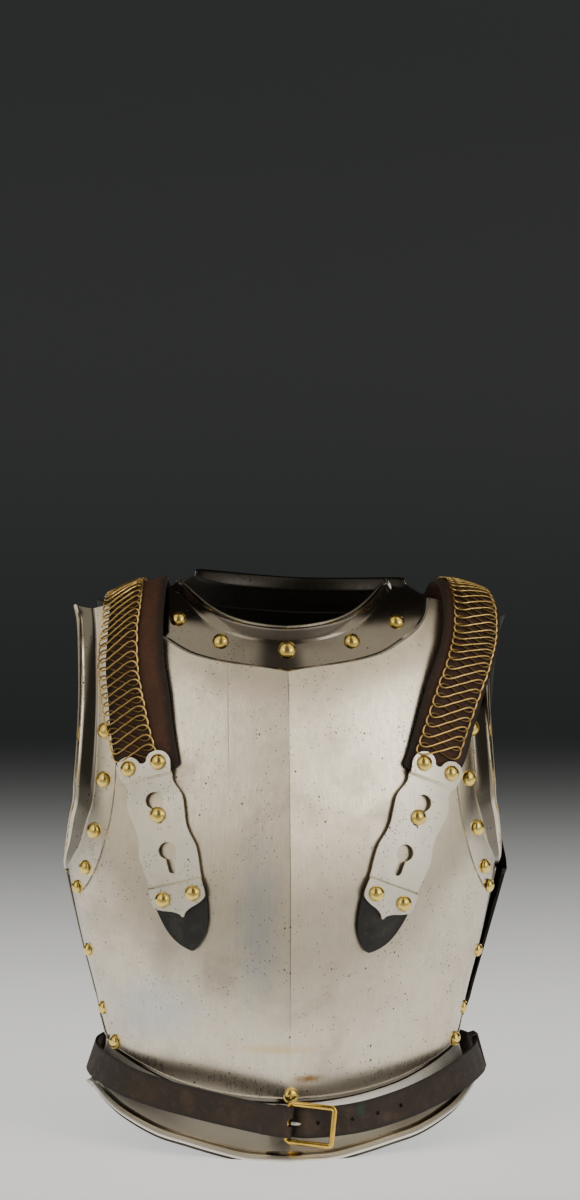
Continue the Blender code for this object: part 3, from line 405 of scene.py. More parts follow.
class Sheet:

    def __init__(self):
        self.points = []
        self.lifts = []
        self.faces = []
        self.rims = set()
        self.marks = []
        self.index = {}

    def corner(self, point, lift=None, rim=False, mark=0.0):
        key = tuple(round(value / (0.01 * mm)) for value in point)
        if key not in self.index:
            self.index[key] = len(self.points)
            self.points.append(Vector(point))
            self.lifts.append(Vector(lift) if lift else Vector())
            self.marks.append(mark)
        found = self.index[key]
        if rim:
            self.rims.add(found)
        return found

    def grid(self, rows):
        for below, above in zip(rows, rows[1:]):
            for k in range(len(below) - 1):
                face = [below[k], below[k + 1], above[k + 1], above[k]]
                face = [c for n, c in enumerate(face) if c != face[n - 1]]
                if len(set(face)) > 2:
                    self.faces.append(face)


def placed(plate, side, point):
    x = point.x * side
    level = point.z
    if plate["facing"] > 0:
        rise = level / plateHeight
        x += backLean * level
        level -= backLean * point.x * side * rise**2
    return Vector((x, plate["facing"] * point.y, level))


def panelRows(plate):
    neckSteps, shoulderSteps = plate["steps"]["neck"], plate["steps"]["shoulder"]
    across = neckSteps + shoulderSteps
    upright = plate["steps"]["side"] + plate["steps"]["arm"]
    neckEnd = linePoint(plate["neck"], 1, "crease")
    armEnd = linePoint(plate["arm"], 1, "crease")
    waistEnd = plate["waist"][-1]["x"]

    def uAt(x, level):
        return Vector((acrossAt(plate, x, level), level))

    def top(i):
        if i <= neckSteps:
            x, level = linePoint(plate["neck"], i / neckSteps, "crease")
        else:
            part = (i - neckSteps) / shoulderSteps
            x = neckEnd[0] + (armEnd[0] - neckEnd[0]) * part
            level = neckEnd[1] + (armEnd[1] - neckEnd[1]) * part
        return uAt(x, level) if x > 0.01 * mm else Vector((0, level))

    def bottom(i):
        share = waistEnd * i / across
        level = byKey(plate["waist"], "x", share, "level") * plateHeight
        return uAt(share * chestHalfWidth, level) if i else Vector((0, level))

    def right(j):
        return uAt(*linePoint(plate["arm"], armShare(plate, j), "crease"))

    low, high = bottom(0), top(0)
    tops = [top(i) for i in range(across + 1)]
    bottoms = [bottom(i) for i in range(across + 1)]
    rows = []
    for j in range(upright + 1):
        t = j / upright
        left, edge = low.lerp(high, t), right(j)
        row = []
        for i in range(across + 1):
            s = i / across
            flat = bottoms[i].lerp(tops[i], t) + left.lerp(edge, s)
            corners = bottoms[0].lerp(bottoms[-1], s).lerp(tops[0].lerp(tops[-1], s), t)
            spot = flat - corners
            row.append(surface(plate, max(spot.x, 0), spot.y))
        rows.append(row)
    return rows


def armShare(plate, j):
    sideSteps, armSteps = plate["steps"]["side"], plate["steps"]["arm"]
    if j <= sideSteps:
        return armpitShare * j / sideSteps
    return armpitShare + (1 - armpitShare) * (j - sideSteps) / armSteps


def plateSheet(plate):
    sheet = Sheet()
    neckSteps = plate["steps"]["neck"]
    across = neckSteps + plate["steps"]["shoulder"]
    upright = plate["steps"]["side"] + plate["steps"]["arm"]
    panel = panelRows(plate)
    neck = [borderRow(plate, plate["neck"], i / neckSteps, neckFlare) for i in range(neckSteps + 1)]
    arm = [borderRow(plate, plate["arm"], armShare(plate, j), armFlare) for j in range(upright + 1)]
    for i, row in enumerate(neck):
        row[0] = panel[-1][i]
    for point in neck[0]:
        point.x = 0
    for j, row in enumerate(arm):
        row[0] = panel[j][-1]
    waist = [panel[0][i] for i in range(across + 1)] + arm[0][1:]
    skirts = []
    for i, top in enumerate(waist):
        before, after = waist[max(i - 1, 0)], waist[min(i + 1, len(waist) - 1)]
        outward = Vector((before.y - after.y, after.x - before.x, 0)).normalized()
        if i == 0:
            outward = Vector((0, 1, 0))
        if i > across:
            outward = Vector((1, 0.06, 0)).normalized()
        share = min(top.x / chestHalfWidth, plate["waist"][-1]["x"])
        if ridged(plate) and i < 3:
            outward = Vector((outward.x * 0.6, outward.y, 0)).normalized()
        skirts.append(skirtRow(plate, top, share, outward))
    troughStart = len(arm[0]) - plate["steps"]["flare"]
    troughEnd = troughStart + round(plate["steps"]["flare"] * troughShare)

    def armMark(number):
        # the trough gets the groove mark, which the steel darkens with painted shade
        return zones["groove"] if troughStart <= number < troughEnd else zones["arm"]

    def skirtMark(number):
        # painted shade in the groove behind the belt and along the foot of the bead, painted light between
        # them
        dark = number < skirtRows["groove"] or number in skirtRows["beadFoot"]
        return zones["groove"] if dark else zones["flange"]

    for side in (1, -1):
        def corners(points, markOf):
            # the first point of a border row is the edge of the panel
            return [
                sheet.corner(placed(plate, side, point), mark=markOf(number) if number else zones["panel"])
                for number, point in enumerate(points)
            ]

        sheet.grid([corners(row, lambda number: zones["panel"]) for row in panel])
        sheet.grid([corners(row, lambda number: zones["neck"]) for row in neck])
        sheet.grid([corners(row, armMark) for row in arm])
        skirt = []
        for top, row in zip(waist, skirts):
            line = [sheet.corner(placed(plate, side, top))]
            for number, (point, lift) in enumerate(row):
                spot = placed(plate, side, point)
                raised = placed(plate, side, point + lift) - spot
                line.append(sheet.corner(spot, raised, row[-1][0] is point, mark=skirtMark(number)))
            skirt.append(line)
        sheet.grid(skirt)
    return sheet


def sheetNormals(sheet, rounds):
    work = bmesh.new()
    corners = [work.verts.new(point) for point in sheet.points]
    for face in sheet.faces:
        work.faces.new([corners[k] for k in face])
    bmesh.ops.recalc_face_normals(work, faces=work.faces[:])
    work.normal_update()
    normals = [corner.normal.copy() for corner in corners]
    work.verts.index_update()
    near = [[edge.other_vert(corner).index for edge in corner.link_edges] for corner in corners]
    faces = [[corner.index for corner in face.verts] for face in work.faces]
    work.free()
    for _ in range(rounds):
        summed = [sum((normals[n] for n in near[k]), normals[k] * 2) for k in range(len(normals))]
        normals = [total.normalized() for total in summed]
    return normals, faces


def thickened(name, sheet, thickness, inside, rounds=2):
    normals, faces = sheetNormals(sheet, rounds)
    toward = sum(normals[k].dot(sheet.points[k] - inside(sheet.points[k])) for k in range(len(normals)))
    if toward < 0:
        normals = [-normal for normal in normals]
        faces = [face[::-1] for face in faces]
    outer = [point + lift for point, lift in zip(sheet.points, sheet.lifts)]
    inner = []
    for k, point in enumerate(sheet.points):
        shift = normals[k] * thickness
        if k in sheet.rims:
            shift = Vector((shift.x, shift.y, 0)).normalized() * thickness
        inner.append(point - shift)
    count = len(outer)
    used = dict.fromkeys((a, b) for face in faces for a, b in zip(face, face[1:] + face[:1]))
    walls = [(b, a, a + count, b + count) for a, b in used if (b, a) not in used]
    solid = faces + [[k + count for k in reversed(face)] for face in faces] + walls
    innerMarks = [zones["inside"]] * count if name.endswith("plate") else sheet.marks
    makeObject(name, outer + inner, solid, sheet.marks + innerMarks)


# Edges that turn by more than these angles, in degrees, stay sharp
sharpAngles = {"plate": 16, "piece": 40, "ridge": 1.5}
ridgeReach = 0.03 * mm  # how far from the middle a corner may lie and still be on the ridge


def makeObject(name, points, faces, marks=None):
    mesh = bpy.data.meshes.new(name + "_fine")
    mesh.from_pydata([tuple(point) for point in points], [], [list(face) for face in faces])
    mesh.attributes.new("zone", "FLOAT", "POINT").data.foreach_set("value", marks or [0.0] * len(points))
    work = bmesh.new()
    work.from_mesh(mesh)
    bmesh.ops.dissolve_degenerate(work, edges=work.edges[:], dist=1e-7)
    bmesh.ops.recalc_face_normals(work, faces=work.faces[:])
    if work.calc_volume(signed=True) < 0:
        bmesh.ops.reverse_faces(work, faces=work.faces[:])
    work.verts.index_update()
    creased = set()
    if name == "breastplate":
        for edge in work.edges:
            onRidge = all(abs(corner.co.x) < ridgeReach for corner in edge.verts)
            if onRidge and edge.calc_face_angle(0) > math.radians(sharpAngles["ridge"]):
                creased.add(frozenset(corner.index for corner in edge.verts))
    work.to_mesh(mesh)
    work.free()
    kind = "plate" if name.endswith("plate") else "piece"
    mesh.set_sharp_from_angle(angle=math.radians(sharpAngles[kind]))
    for edge in mesh.edges:
        if frozenset(edge.vertices) in creased:
            edge.use_edge_sharp = True
    made = bpy.data.objects.new(name + "_fine", mesh)
    fine[name] = made
    bpy.context.scene.collection.objects.link(made)
    for polygon in mesh.polygons:
        polygon.use_smooth = True


def treeOf(made):
    return BVHTree.FromPolygons(
        [corner.co.copy() for corner in made.data.vertices],
        [list(polygon.vertices) for polygon in made.data.polygons],
    )


def ring(centre, a, b, count):
    # points round a centre, from one direction towards the other
    turns = [2 * math.pi * k / count for k in range(count)]
    return [centre + a * math.cos(turn) + b * math.sin(turn) for turn in turns]


def ringFaces(count, sides, first=0, closed=True):
    # the faces between rings that follow one another
    faces = []
    for k in range(count if closed else count - 1):
        here, ahead = first + k * sides, first + (k + 1) % count * sides
        for s in range(sides):
            m = (s + 1) % sides
            faces.append([here + s, here + m, ahead + m, ahead + s])
    return faces


# Strips: straps, belts, hasps and tabs are rows across a length, with an optional hole in the middle

def stripSheet(stations, outer, hole, place, columns=3):
    sheet = Sheet()
    for side in (-1, 1):
        rows = []
        for t in stations:
            innerEdge, outerEdge = hole(t), outer(t)
            row = []
            for k in range(columns + 1):
                w = innerEdge + (outerEdge - innerEdge) * k / columns
                row.append(sheet.corner(place(t, side * w), mark=k / columns if k else 0.0))
            rows.append(row)
        sheet.grid(rows)
    return sheet


def chestSpot(x, level, lift):
    side = 1 if x >= 0 else -1
    u = acrossAt(chest, abs(x), level)
    point = surface(chest, u, level)
    normal = surfaceNormal(chest, u, level)
    spot = point + normal * lift
    return placed(chest, side, spot), placed(chest, side, normal)


chest = {
    "sections": chestSections,
    "neck": chestNeck,
    "arm": armLines,
    "waist": chestWaist,
    "depth": chestDepth,
    "slack": ridgeSlack,
    "facing": -1,
    "steps": {"neck": steps(34), "shoulder": 4, "side": steps(22), "arm": steps(44), "flare": 18},
}
back = {
    "sections": backSections,
    "neck": backNeck,
    "arm": armLines,
    "waist": backWaist,
    "depth": backDepth,
    "slack": 0.02,
    "facing": 1,
    "steps": {"neck": steps(24), "shoulder": 3, "side": steps(16), "arm": steps(30), "flare": 14},
}


def torsoAxis(point):
    return Vector((0, 0, point.z))


def buildPlates():
    thickened("breastplate", plateSheet(chest), chestThickness, torsoAxis)
    thickened("backplate", plateSheet(back), backThickness, torsoAxis)


# Shoulder straps: inner and outer edges, front end first. A lift means above the chest or the back

strapColumns = "inner_x inner_level outer_x outer_level depth lift behind"
strapRows = {
    "left": table(
        strapColumns,
        [
            (-0.481, 0.668, -0.716, 0.646, None, 1.1, 0.145),
            (-0.492, 0.690, -0.765, 0.676, None, 1.6, 0.17),
            (-0.514, 0.743, -0.787, 0.734, None, 2.2, 0.17),
            (-0.530, 0.797, -0.798, 0.788, None, 3.0, 0.17),
            (-0.552, 0.850, -0.809, 0.840, None, 4.0, 0.16),
            (-0.555, 0.909, -0.803, 0.890, None, 5.0, 0.13),
            (-0.545, 0.965, -0.795, 0.933, -0.40, None, 0.04),
            (-0.535, 0.996, -0.784, 0.962, -0.25, None, -0.02),
            (-0.525, 1.005, -0.776, 0.970, -0.04, None, 0),
            (-0.525, 1.007, -0.772, 0.972, 0.14, None, 0),
            (-0.520, 1.004, -0.762, 0.972, 0.32, None, 0),
            (-0.505, 0.976, -0.745, 0.950, 0.46, None, -0.05),
            (-0.475, 0.928, -0.715, 0.905, None, 3.6, -0.12),
            (-0.440, 0.868, -0.680, 0.853, None, 2.2, -0.15),
            (-0.410, 0.810, -0.650, 0.803, None, 0.6, -0.17),
        ],
    ),
    "right": table(
        strapColumns,
        [
            (0.503, 0.666, 0.743, 0.636, None, 1.2, 0.15),
            (0.536, 0.691, 0.803, 0.676, None, 1.5, 0.16),
            (0.579, 0.745, 0.847, 0.735, None, 2.0, 0.14),
            (0.628, 0.804, 0.896, 0.793, None, 3.0, 0.12),
            (0.683, 0.856, 0.945, 0.845, None, 5.0, 0.11),
            (0.712, 0.905, 0.973, 0.884, -0.48, None, 0.08),
            (0.724, 0.952, 0.982, 0.926, -0.385, None, 0.03),
            (0.721, 0.985, 0.978, 0.958, -0.23, None, 0),
            (0.719, 0.998, 0.975, 0.970, -0.04, None, 0),
            (0.716, 1.000, 0.971, 0.972, 0.14, None, 0),
            (0.710, 0.998, 0.962, 0.972, 0.32, None, 0),
            (0.695, 0.972, 0.940, 0.950, 0.46, None, -0.05),
            (0.665, 0.926, 0.905, 0.903, None, 3.6, -0.12),
            (0.620, 0.868, 0.860, 0.853, None, 2.2, -0.15),
            (0.585, 0.810, 0.825, 0.803, None, 0.6, -0.17),
        ],
    ),
}
strapFrontRows = 9
strapStations = steps(110)
strapCrown = 1.6 * mm
liftUnit = 2 * mm
gridShares = [-0.1 + 0.1 * k for k in range(13)]


def plateSpot(plate, x, level, lift):
    if plate["facing"] > 0:
        x = x - backLean * level
    side = 1 if x >= 0 else -1
    u = acrossAt(plate, abs(x), level)
    spot = surface(plate, u, level) + surfaceNormal(plate, u, level) * lift
    return placed(plate, side, spot)


def strapEdges(side):
    inner, outer = [], []
    for number, row in enumerate(strapRows[side]):
        plate = chest if number < strapFrontRows else back
        edges = []
        for name in ("inner", "outer"):
            x = row[name + "_x"] * chestHalfWidth
            level = row[name + "_level"] * plateHeight
            if row["depth"] is None:
                lift = row["lift"] * liftUnit + leatherThickness
                edges.append(plateSpot(plate, x, level, lift))
            else:
                edges.append(Vector((x, row["depth"] * chestDepth, level)))
            edges[-1].x = x
        if row["behind"] is not None:
            edges[1].y = edges[0].y + row["behind"] * chestDepth
            edges[1].z = row["outer_level"] * plateHeight
        inner.append(edges[0])
        outer.append(edges[1])
    return inner, outer


def pointSpline(points, share):
    last = len(points) - 1
    keys = [k / last for k in range(last + 1)]
    return Vector([spline(keys, [point[axis] for point in points], share) for axis in range(3)])


def strapPlace(side):
    inner, outer = strapEdges(side)

    def flat(share, w):
        return pointSpline(inner, share).lerp(pointSpline(outer, share), w)

    def place(share, w):
        crown = strapCrown * max(4 * w * (1 - w), 0)
        return flat(share, w) + strapNormal(flat, share, 0.5) * crown

    return place


def strapGrid(side):
    place = strapPlace(side)
    count = steps(240)
    rows = []
    for k in range(count + 1):
        share = k / count
        rows.append([(place(share, w), strapNormal(place, share, w)) for w in gridShares])
    return rows


def gridSpot(rows, share, w, lift):
    # point above the strap, read off the grid
    high = clamped(share) * (len(rows) - 1)
    j = min(int(high), len(rows) - 2)
    wide = (w - gridShares[0]) / (gridShares[1] - gridShares[0])
    i = min(max(int(wide), 0), len(gridShares) - 2)
    up, over = high - j, wide - i
    around = [rows[a][b] for a in (j, j + 1) for b in (i, i + 1)]
    spots = [spot + normal * lift for spot, normal in around]
    return spots[0].lerp(spots[1], over).lerp(spots[2].lerp(spots[3], over), up)


def strapNormal(place, share, w):
    small = 0.004
    along = place(min(share + small, 1), w) - place(max(share - small, 0), w)
    across = place(share, w + 0.1) - place(share, w - 0.1)
    normal = along.cross(across).normalized()
    reference = place(share, w) - strapInside
    return normal if normal.dot(reference) > 0 else -normal


def endHalfWidth(share):
    rounding = 0.04
    near = min(share, 1 - share) / rounding
    if near >= 1:
        return 0.5
    return 0.5 * (0.55 + 0.45 * math.sqrt(1 - (1 - near) ** 2))


def buildStraps():
    for side in ("left", "right"):
        place = strapPlace(side)
        stations = [k / strapStations for k in range(strapStations + 1)]
        sheet = stripSheet(
            stations, endHalfWidth, lambda t: 0, lambda t, w: place(t, 0.5 + w), columns=8
        )
        thickened(
            "shoulder_strap_" + side, sheet, leatherThickness,
            lambda point: Vector((point.x * 0.8, strapInside.y, strapInside.z)), rounds=1,
        )


# Chain bands: twisted oval links that follow the strap, nearer its outer edge

chains = {
    "left": {"edges": (0.39, 1.12), "span": (0.075, 0.93), "slant": 0.2, "rise": -0.78, "seed": 7},
    "right": {"edges": (0.15, 0.93), "span": (0.075, 0.93), "slant": 0.14, "rise": 0.70, "seed": 11},
}
wire = {"radius": 0.72 * mm, "sides": 8, "steps": 56, "depth": 1.45 * mm, "lift": 2.5 * mm}
slantEnd = 0.24  # share of the strap beyond which the links no longer slant


def buildChains():
    wireSteps = max(round(wire["steps"] * detail), 24)
    sides = wire["sides"]
    nearness = [0.5 + 0.5 * math.sin(2 * math.pi * step / wireSteps) for step in range(wireSteps)]
    for side, chain in chains.items():
        rows = strapGrid(side)
        start, stop = chain["span"]
        middle = [row[6][0] for row in rows]
        length = sum((b - a).length for a, b in zip(middle, middle[1:]))
        pitch = chainPitch / length
        random.seed(chain["seed"])
        points, faces, marks = [], [], []
        for k in range(round((stop - start) / pitch)):
            share = start + pitch * (k + 0.5)
            slant = chain["slant"] * max(1 - share / slantEnd, 0) ** 1.3
            low, high = [edge - slant for edge in chain["edges"]]
            path = linkPath(rows, low, high, share, pitch, chain["rise"], wireSteps)
            faces += ringFaces(wireSteps, sides, len(points))
            points += linkPoints(path)
            # each wire point is marked by how far forward it lies, so the brass can paint shade on the back
            # wires
            marks += [near for near in nearness for _ in range(sides)]
        makeObject("chain_band_" + side, points, faces, marks)


def linkPath(rows, low, high, share, pitch, rise, count):
    # a twisted oval: the front wire rises to the right, the back wire falls, and each end is a round loop
    tilt = random.uniform(-0.07, 0.07)
    shift = random.uniform(-0.012, 0.012)
    path = []
    for k in range(count):
        turn = 2 * math.pi * k / count
        across = math.copysign(abs(math.cos(turn)) ** 0.86, math.cos(turn))
        along = rise * math.sin(2 * turn) + tilt * across
        w = (low + high) / 2 + (high - low) / 2 * (0.955 * across + shift)
        lift = wire["lift"] + wire["depth"] * math.sin(turn)
        path.append(gridSpot(rows, share + pitch * along, w, lift))
    return path


def linkPoints(path):
    points = []
    for k, spot in enumerate(path):
        ahead = (path[(k + 1) % len(path)] - path[k - 1]).normalized()
        side = ahead.cross(Vector((0.03, -1, 0.4))).normalized()
        out = side.cross(ahead).normalized()
        points += ring(spot, side * wire["radius"], out * wire["radius"], wire["sides"])
    return points


# Hasps: t runs along the hasp from the tops of the lobes to the small tip

haspWidth = table(
    "t half",
    [
        (0.000, 0.57), (0.012, 0.80), (0.035, 0.95), (0.071, 1.02), (0.143, 0.93),
        (0.195, 0.88), (0.289, 1.07), (0.376, 1.02), (0.451, 0.95), (0.511, 0.97),
        (0.600, 1.09), (0.692, 1.06), (0.774, 1.00), (0.827, 1.01), (0.873, 1.02),
        (0.905, 0.98), (0.925, 0.86), (0.942, 0.62), (0.955, 0.36), (0.975, 0.14),
        (1.000, 0.03),
    ],
)
haspEnds = {
    "left": {"top": (-0.620, 0.670), "foot": (-0.473, 0.448)},
    "right": {"top": (0.648, 0.663), "foot": (0.429, 0.443)},
}
lobeRadius = 9.6 * mm
lobeOffset = 12 * mm
notchDepth = 0.062
keyholeSpots = (0.288, 0.596)
keyholeRadius = 7 * mm
slotHalf = 2.9 * mm
slotLength = 18.5 * mm
upperStep = (0.142, 0.156)
lowerStep = (0.786, 0.8)
upperRivetT = 0.071
lowerRivetT = 0.873
studT = 0.374
keyholeParts = (-0.0526, -0.044, -0.024, 0.0, 0.024, 0.042, 0.0485, 0.122, 0.134, 0.14)
haspStations = sorted(
    [row["t"] for row in haspWidth]
    + [0.03, 0.05, notchDepth, 0.09, 0.115, *upperStep, 0.17, 0.22]
    + [spot + part for spot in keyholeSpots for part in keyholeParts]
    + [0.46, 0.49, *lowerStep, 0.85]
)


def roundStations(spot):
    # stations that follow the keyhole's round part and the end of its slot
    radius, slotEnd = keyholeRadius / haspLength, slotLength / haspLength
    ring = [spot - radius * math.cos(math.pi * k / 20) for k in range(21)]
    cap = slotHalf / haspLength
    end = [spot + slotEnd - cap + cap * math.sin(math.pi / 2 * k / 8) for k in range(9)]
    return ring + end


fineStations = haspStations + [k / 110 for k in range(111)]
for keyholeSpot in keyholeSpots:
    fineStations += roundStations(keyholeSpot)
fineStations = sorted(fineStations)
fineStations = [fineStations[0]] + [b for a, b in zip(fineStations, fineStations[1:]) if b - a > 0.0004]


def haspHalf(t):
    return byKey(haspWidth, "t", t, "half") * haspHalfWidth


def haspHole(t):
    if t < notchDepth - 1e-6:
        above = max(lobeRadius - t * haspLength, 0)
        return max(lobeOffset - math.sqrt(max(lobeRadius**2 - above**2, 0)), 0.3 * mm)
    for spot in keyholeSpots:
        along = (t - spot) * haspLength
        roundPart = math.sqrt(max(keyholeRadius**2 - along**2, 0))
        slot = 0
        if 0 < along < slotLength:
            cap = max(along - (slotLength - slotHalf), 0)
            slot = math.sqrt(max(slotHalf**2 - cap**2, 0))
        if max(roundPart, slot) > 0.05 * mm:
            return max(roundPart, slot)
    return 0


def stepped(t):
    high = 3.2 * mm + leatherThickness + 2 * pieceGap
    low = haspGap
    tab = tabGap + leatherThickness + looseFit
    rise = clamped((upperStep[1] - t) / (upperStep[1] - upperStep[0]))
    fall = clamped((t - lowerStep[0]) / (lowerStep[1] - lowerStep[0]))
    return low + (high - low) * rise + (tab - low) * fall


def haspFrame(side):
    ends = haspEnds[side]
    top = Vector((ends["top"][0] * chestHalfWidth, ends["top"][1] * plateHeight))
    foot = Vector((ends["foot"][0] * chestHalfWidth, ends["foot"][1] * plateHeight))
    along = (foot - top).normalized()
    scale = (foot - top).length / (haspLength * (lowerRivetT - upperRivetT))
    origin = top - along * upperRivetT * haspLength * scale
    across = Vector((-along.y, along.x))
    return origin, along * scale, across


def haspPlace(side, lift):
    origin, along, across = haspFrame(side)

    def place(t, w):
        flat = origin + along * (t * haspLength) + across * w
        spot, _ = chestSpot(flat.x, flat.y, lift(t))
        return spot

    return place


def buildHasps():
    for side in ("left", "right"):
        place = haspPlace(side, lambda t: stepped(t) + haspThickness)
        sheet = stripSheet(fineStations, haspHalf, haspHole, place, columns=4)
        thickened("hasp_" + side, sheet, haspThickness, torsoAxis, rounds=0)


tabWidth = table(
    "t half",
    [
        (0.818, 0.80), (0.830, 0.93), (0.860, 0.96), (0.900, 0.96), (0.950, 0.93),
        (1.000, 0.87), (1.060, 0.77), (1.120, 0.60), (1.165, 0.39), (1.195, 0.19),
        (1.212, 0.04),
    ],
)


def buildTabs():
    for side in ("left", "right"):
        place = haspPlace(side, lambda t: tabGap + leatherThickness)
        sheet = stripSheet(
            [tabWidth[0]["t"] + (tabWidth[-1]["t"] - tabWidth[0]["t"]) * k / 60 for k in range(61)],
            lambda t: byKey(tabWidth, "t", t, "half") * haspHalfWidth,
            lambda t: 0,
            place,
            columns=6,
        )
        thickened("leather_tab_" + side, sheet, leatherThickness - 0.2 * mm, torsoAxis, rounds=0)


# Belt: middle line in plan, its level, and how far its lower edge leans out

beltPath = table(
    "x depth level lean",
    [
        (-0.6585, 0.5514, 0.140, 0.10),
        (-0.790, 0.354, 0.141, 0.22),
        (-0.858, 0.1004, 0.142, 0.30),
        (-0.880, -0.130, 0.139, 0.34),
        (-0.840, -0.360, 0.131, 0.30),
        (-0.735, -0.600, 0.118, 0.26),
        (-0.600, -0.775, 0.106, 0.22),
        (-0.440, -0.905, 0.0945, 0.18),
        (-0.230, -1.005, 0.079, 0.12),
        (-0.030, -1.060, 0.0655, 0.06),
        (0.120, -1.050, 0.0635, 0.06),
        (0.300, -0.995, 0.069, 0.12),
        (0.490, -0.880, 0.083, 0.18),
        (0.640, -0.745, 0.099, 0.22),
        (0.780, -0.545, 0.116, 0.28),
        (0.880, -0.290, 0.127, 0.32),
        (0.922, -0.080, 0.133, 0.32),
        (0.899, 0.1506, 0.136, 0.26),
        (0.826, 0.3566, 0.139, 0.22),
        (0.7095, 0.5329, 0.140, 0.12),
    ],
)
foldRadius = 4.4 * mm
foldShare = 0.478
tongueShare = 0.448
beltSteps = steps(120)
prongHole = 0.527
holeShares = (0.572, 0.602, 0.632, prongHole)
holeRadius = 1.6 * mm
# Where the tongue dips under the frame and then under the fold: start, length and depth of each dip
tongueDips = ((0.595, 0.045, 2.9 * mm), (0.508, 0.024, 7.6 * mm))
fold = {"slotHalf": 3 * mm, "slotEnd": 2.7, "tail": 20 * mm, "steps": 16}


def beltFrame(share):
    def middle(s):
        x = byShare(beltPath, s, "x") * chestHalfWidth
        depth = byShare(beltPath, s, "depth")
        y = depth * (chestDepth if depth < 0 else backDepth)
        level = byShare(beltPath, s, "level") * plateHeight
        return Vector((x, y, level))

    small = 0.004
    along = (middle(min(share + small, 1)) - middle(max(share - small, 0))).normalized()
    flat = Vector((along.y, -along.x, 0)).normalized()
    lean = byShare(beltPath, share, "lean")
    up = Vector((0, 0, 1)) - flat * lean
    up = (up - along * up.dot(along)).normalized()
    normal = along.cross(up).normalized()
    if normal.dot(flat) < 0:
        normal = -normal
    return middle(share), along, up, normal


def beltPlace(offset):
    def place(share, w):
        middle, _, up, normal = beltFrame(share)
        return middle + up * w + normal * offset(share)

    return place


def beltHalf(share):
    return beltWidth / 2


def buildBelt():
    buckleSide = [foldShare * k / beltSteps for k in range(beltSteps + 1)]
    sheet = stripSheet(buckleSide, beltHalf, lambda t: 0, beltPlace(lambda s: 0), columns=4)
    foldColumns(sheet)
    thickened("belt_buckle_side", sheet, beltThickness, torsoAxis, rounds=0)
    buildTongue()
    buildKeeper()


def foldColumns(sheet):
    # the end of the buckle side, turned back round the bar, with a slot for the prong
    middle, along, up, normal = beltFrame(foldShare)
    centre = middle - normal * foldRadius
    points = []
    for k in range(fold["steps"] + 1):
        turn = math.pi * k / fold["steps"]
        offset = along * (foldRadius * math.sin(turn)) + normal * (foldRadius * math.cos(turn))
        points.append((centre + offset, 0 < turn < fold["slotEnd"]))
    points.append((centre - normal * foldRadius - along * fold["tail"], False))
    for sign in (-1, 1):
        rows = []
        for point, slotted in points:
            inner = fold["slotHalf"] if slotted else 0
            heights = [inner + (beltWidth / 2 - inner) * c / 4 for c in range(5)]
            rows.append([sheet.corner(point + up * (sign * height)) for height in heights])
        sheet.grid(rows)


def tongueOffset(share):
    return -sum(depth * clamped((start - share) / length) for start, length, depth in tongueDips)


def buildTongue():
    def hole(share):
        for spot in holeShares:
            along = abs(share - spot) * beltLength
            if along < holeRadius - 1e-6:
                return math.sqrt(holeRadius**2 - along**2)
        return 0

    step = holeRadius / beltLength
    stations = [tongueShare + (1 - tongueShare) * k / beltSteps for k in range(beltSteps + 1)]
    for spot in holeShares:
        stations = [s for s in stations if abs(s - spot) > step * 1.3]
        stations += [spot - step * math.cos(math.pi * part / 12) for part in range(13)]

    def half(share):
        near = min((share - tongueShare) / 0.012, 1)
        return beltWidth / 2 * (0.35 + 0.65 * math.sqrt(max(near, 0)))

    sheet = stripSheet(sorted(stations), half, hole, beltPlace(tongueOffset), columns=5)
    thickened("belt_tongue_side", sheet, beltThickness, torsoAxis, rounds=0)
    shadeHoles()


def shadeHoles():
    # a dark plug closes the far end of each punched hole: painted shade for the shadow inside it
    mesh = fine["belt_tongue_side"].data
    work = bmesh.new()
    work.from_mesh(mesh)
    zone = work.verts.layers.float["zone"]
    shadePlug = {"sides": 16, "radius": holeRadius * 1.06, "depths": (0.72, 0.88)}
    for share in holeShares:
        middle, along, up, normal = beltFrame(share)
        rims = []
        for depth in shadePlug["depths"]:
            centre = middle + normal * (tongueOffset(share) - beltThickness * depth)
            spots = ring(centre, along * shadePlug["radius"], up * shadePlug["radius"], shadePlug["sides"])
            rims.append([work.verts.new(spot) for spot in spots])
        near, far = rims
        # marked as an edge, so the leather paints the plug dark
        for corner in near + far:
            corner[zone] = 1.0
        work.faces.new(near)
        work.faces.new(far[::-1])
        for k in range(shadePlug["sides"]):
            work.faces.new([near[k - 1], far[k - 1], far[k], near[k]])
    work.normal_update()
    work.to_mesh(mesh)
    work.free()


keeper = {
    "share": 0.868, "half": 6 * mm, "wall": 1.6 * mm,
    "room": 3.2 * mm, "over": 0.4 * mm, "under": 0.9 * mm,
}


def buildKeeper():
    middle, along, up, normal = beltFrame(keeper["share"])
    halfHeight = beltWidth / 2 + keeper["room"]
    wall = keeper["wall"]
    outNear = keeper["over"]
    inNear = -beltThickness - keeper["under"]
    ringOuter = [
        (halfHeight, outNear + wall), (-halfHeight, outNear + wall),
        (-halfHeight, inNear - wall), (halfHeight, inNear - wall),
    ]
    innerHeight = halfHeight - wall
    ringInner = [
        (innerHeight, outNear), (-innerHeight, outNear),
        (-innerHeight, inNear), (innerHeight, inNear),
    ]
    points = []
    for shift in (-keeper["half"], keeper["half"]):
        for corners in (ringOuter, ringInner):
            for high, out in corners:
                points.append(middle + along * shift + up * high + normal * out)
    faces = []
    for k in range(4):
        n = (k + 1) % 4
        faces.append([k, n, n + 8, k + 8])
        faces.append([k + 4, k + 12, n + 12, n + 4])
        faces.append([k, k + 4, n + 4, n])
        faces.append([k + 8, n + 8, n + 12, k + 12])
    makeObject("belt_keeper", points, faces)


prongPath = table(
    "forward out radius",
    [(1.8, 1.6, 0.9), (3.4, 3.4, 1.4), (6.4, 3.8, 1.5), (9.4, 2.6, 1.3), (11.2, 1.4, 0.6)],
)


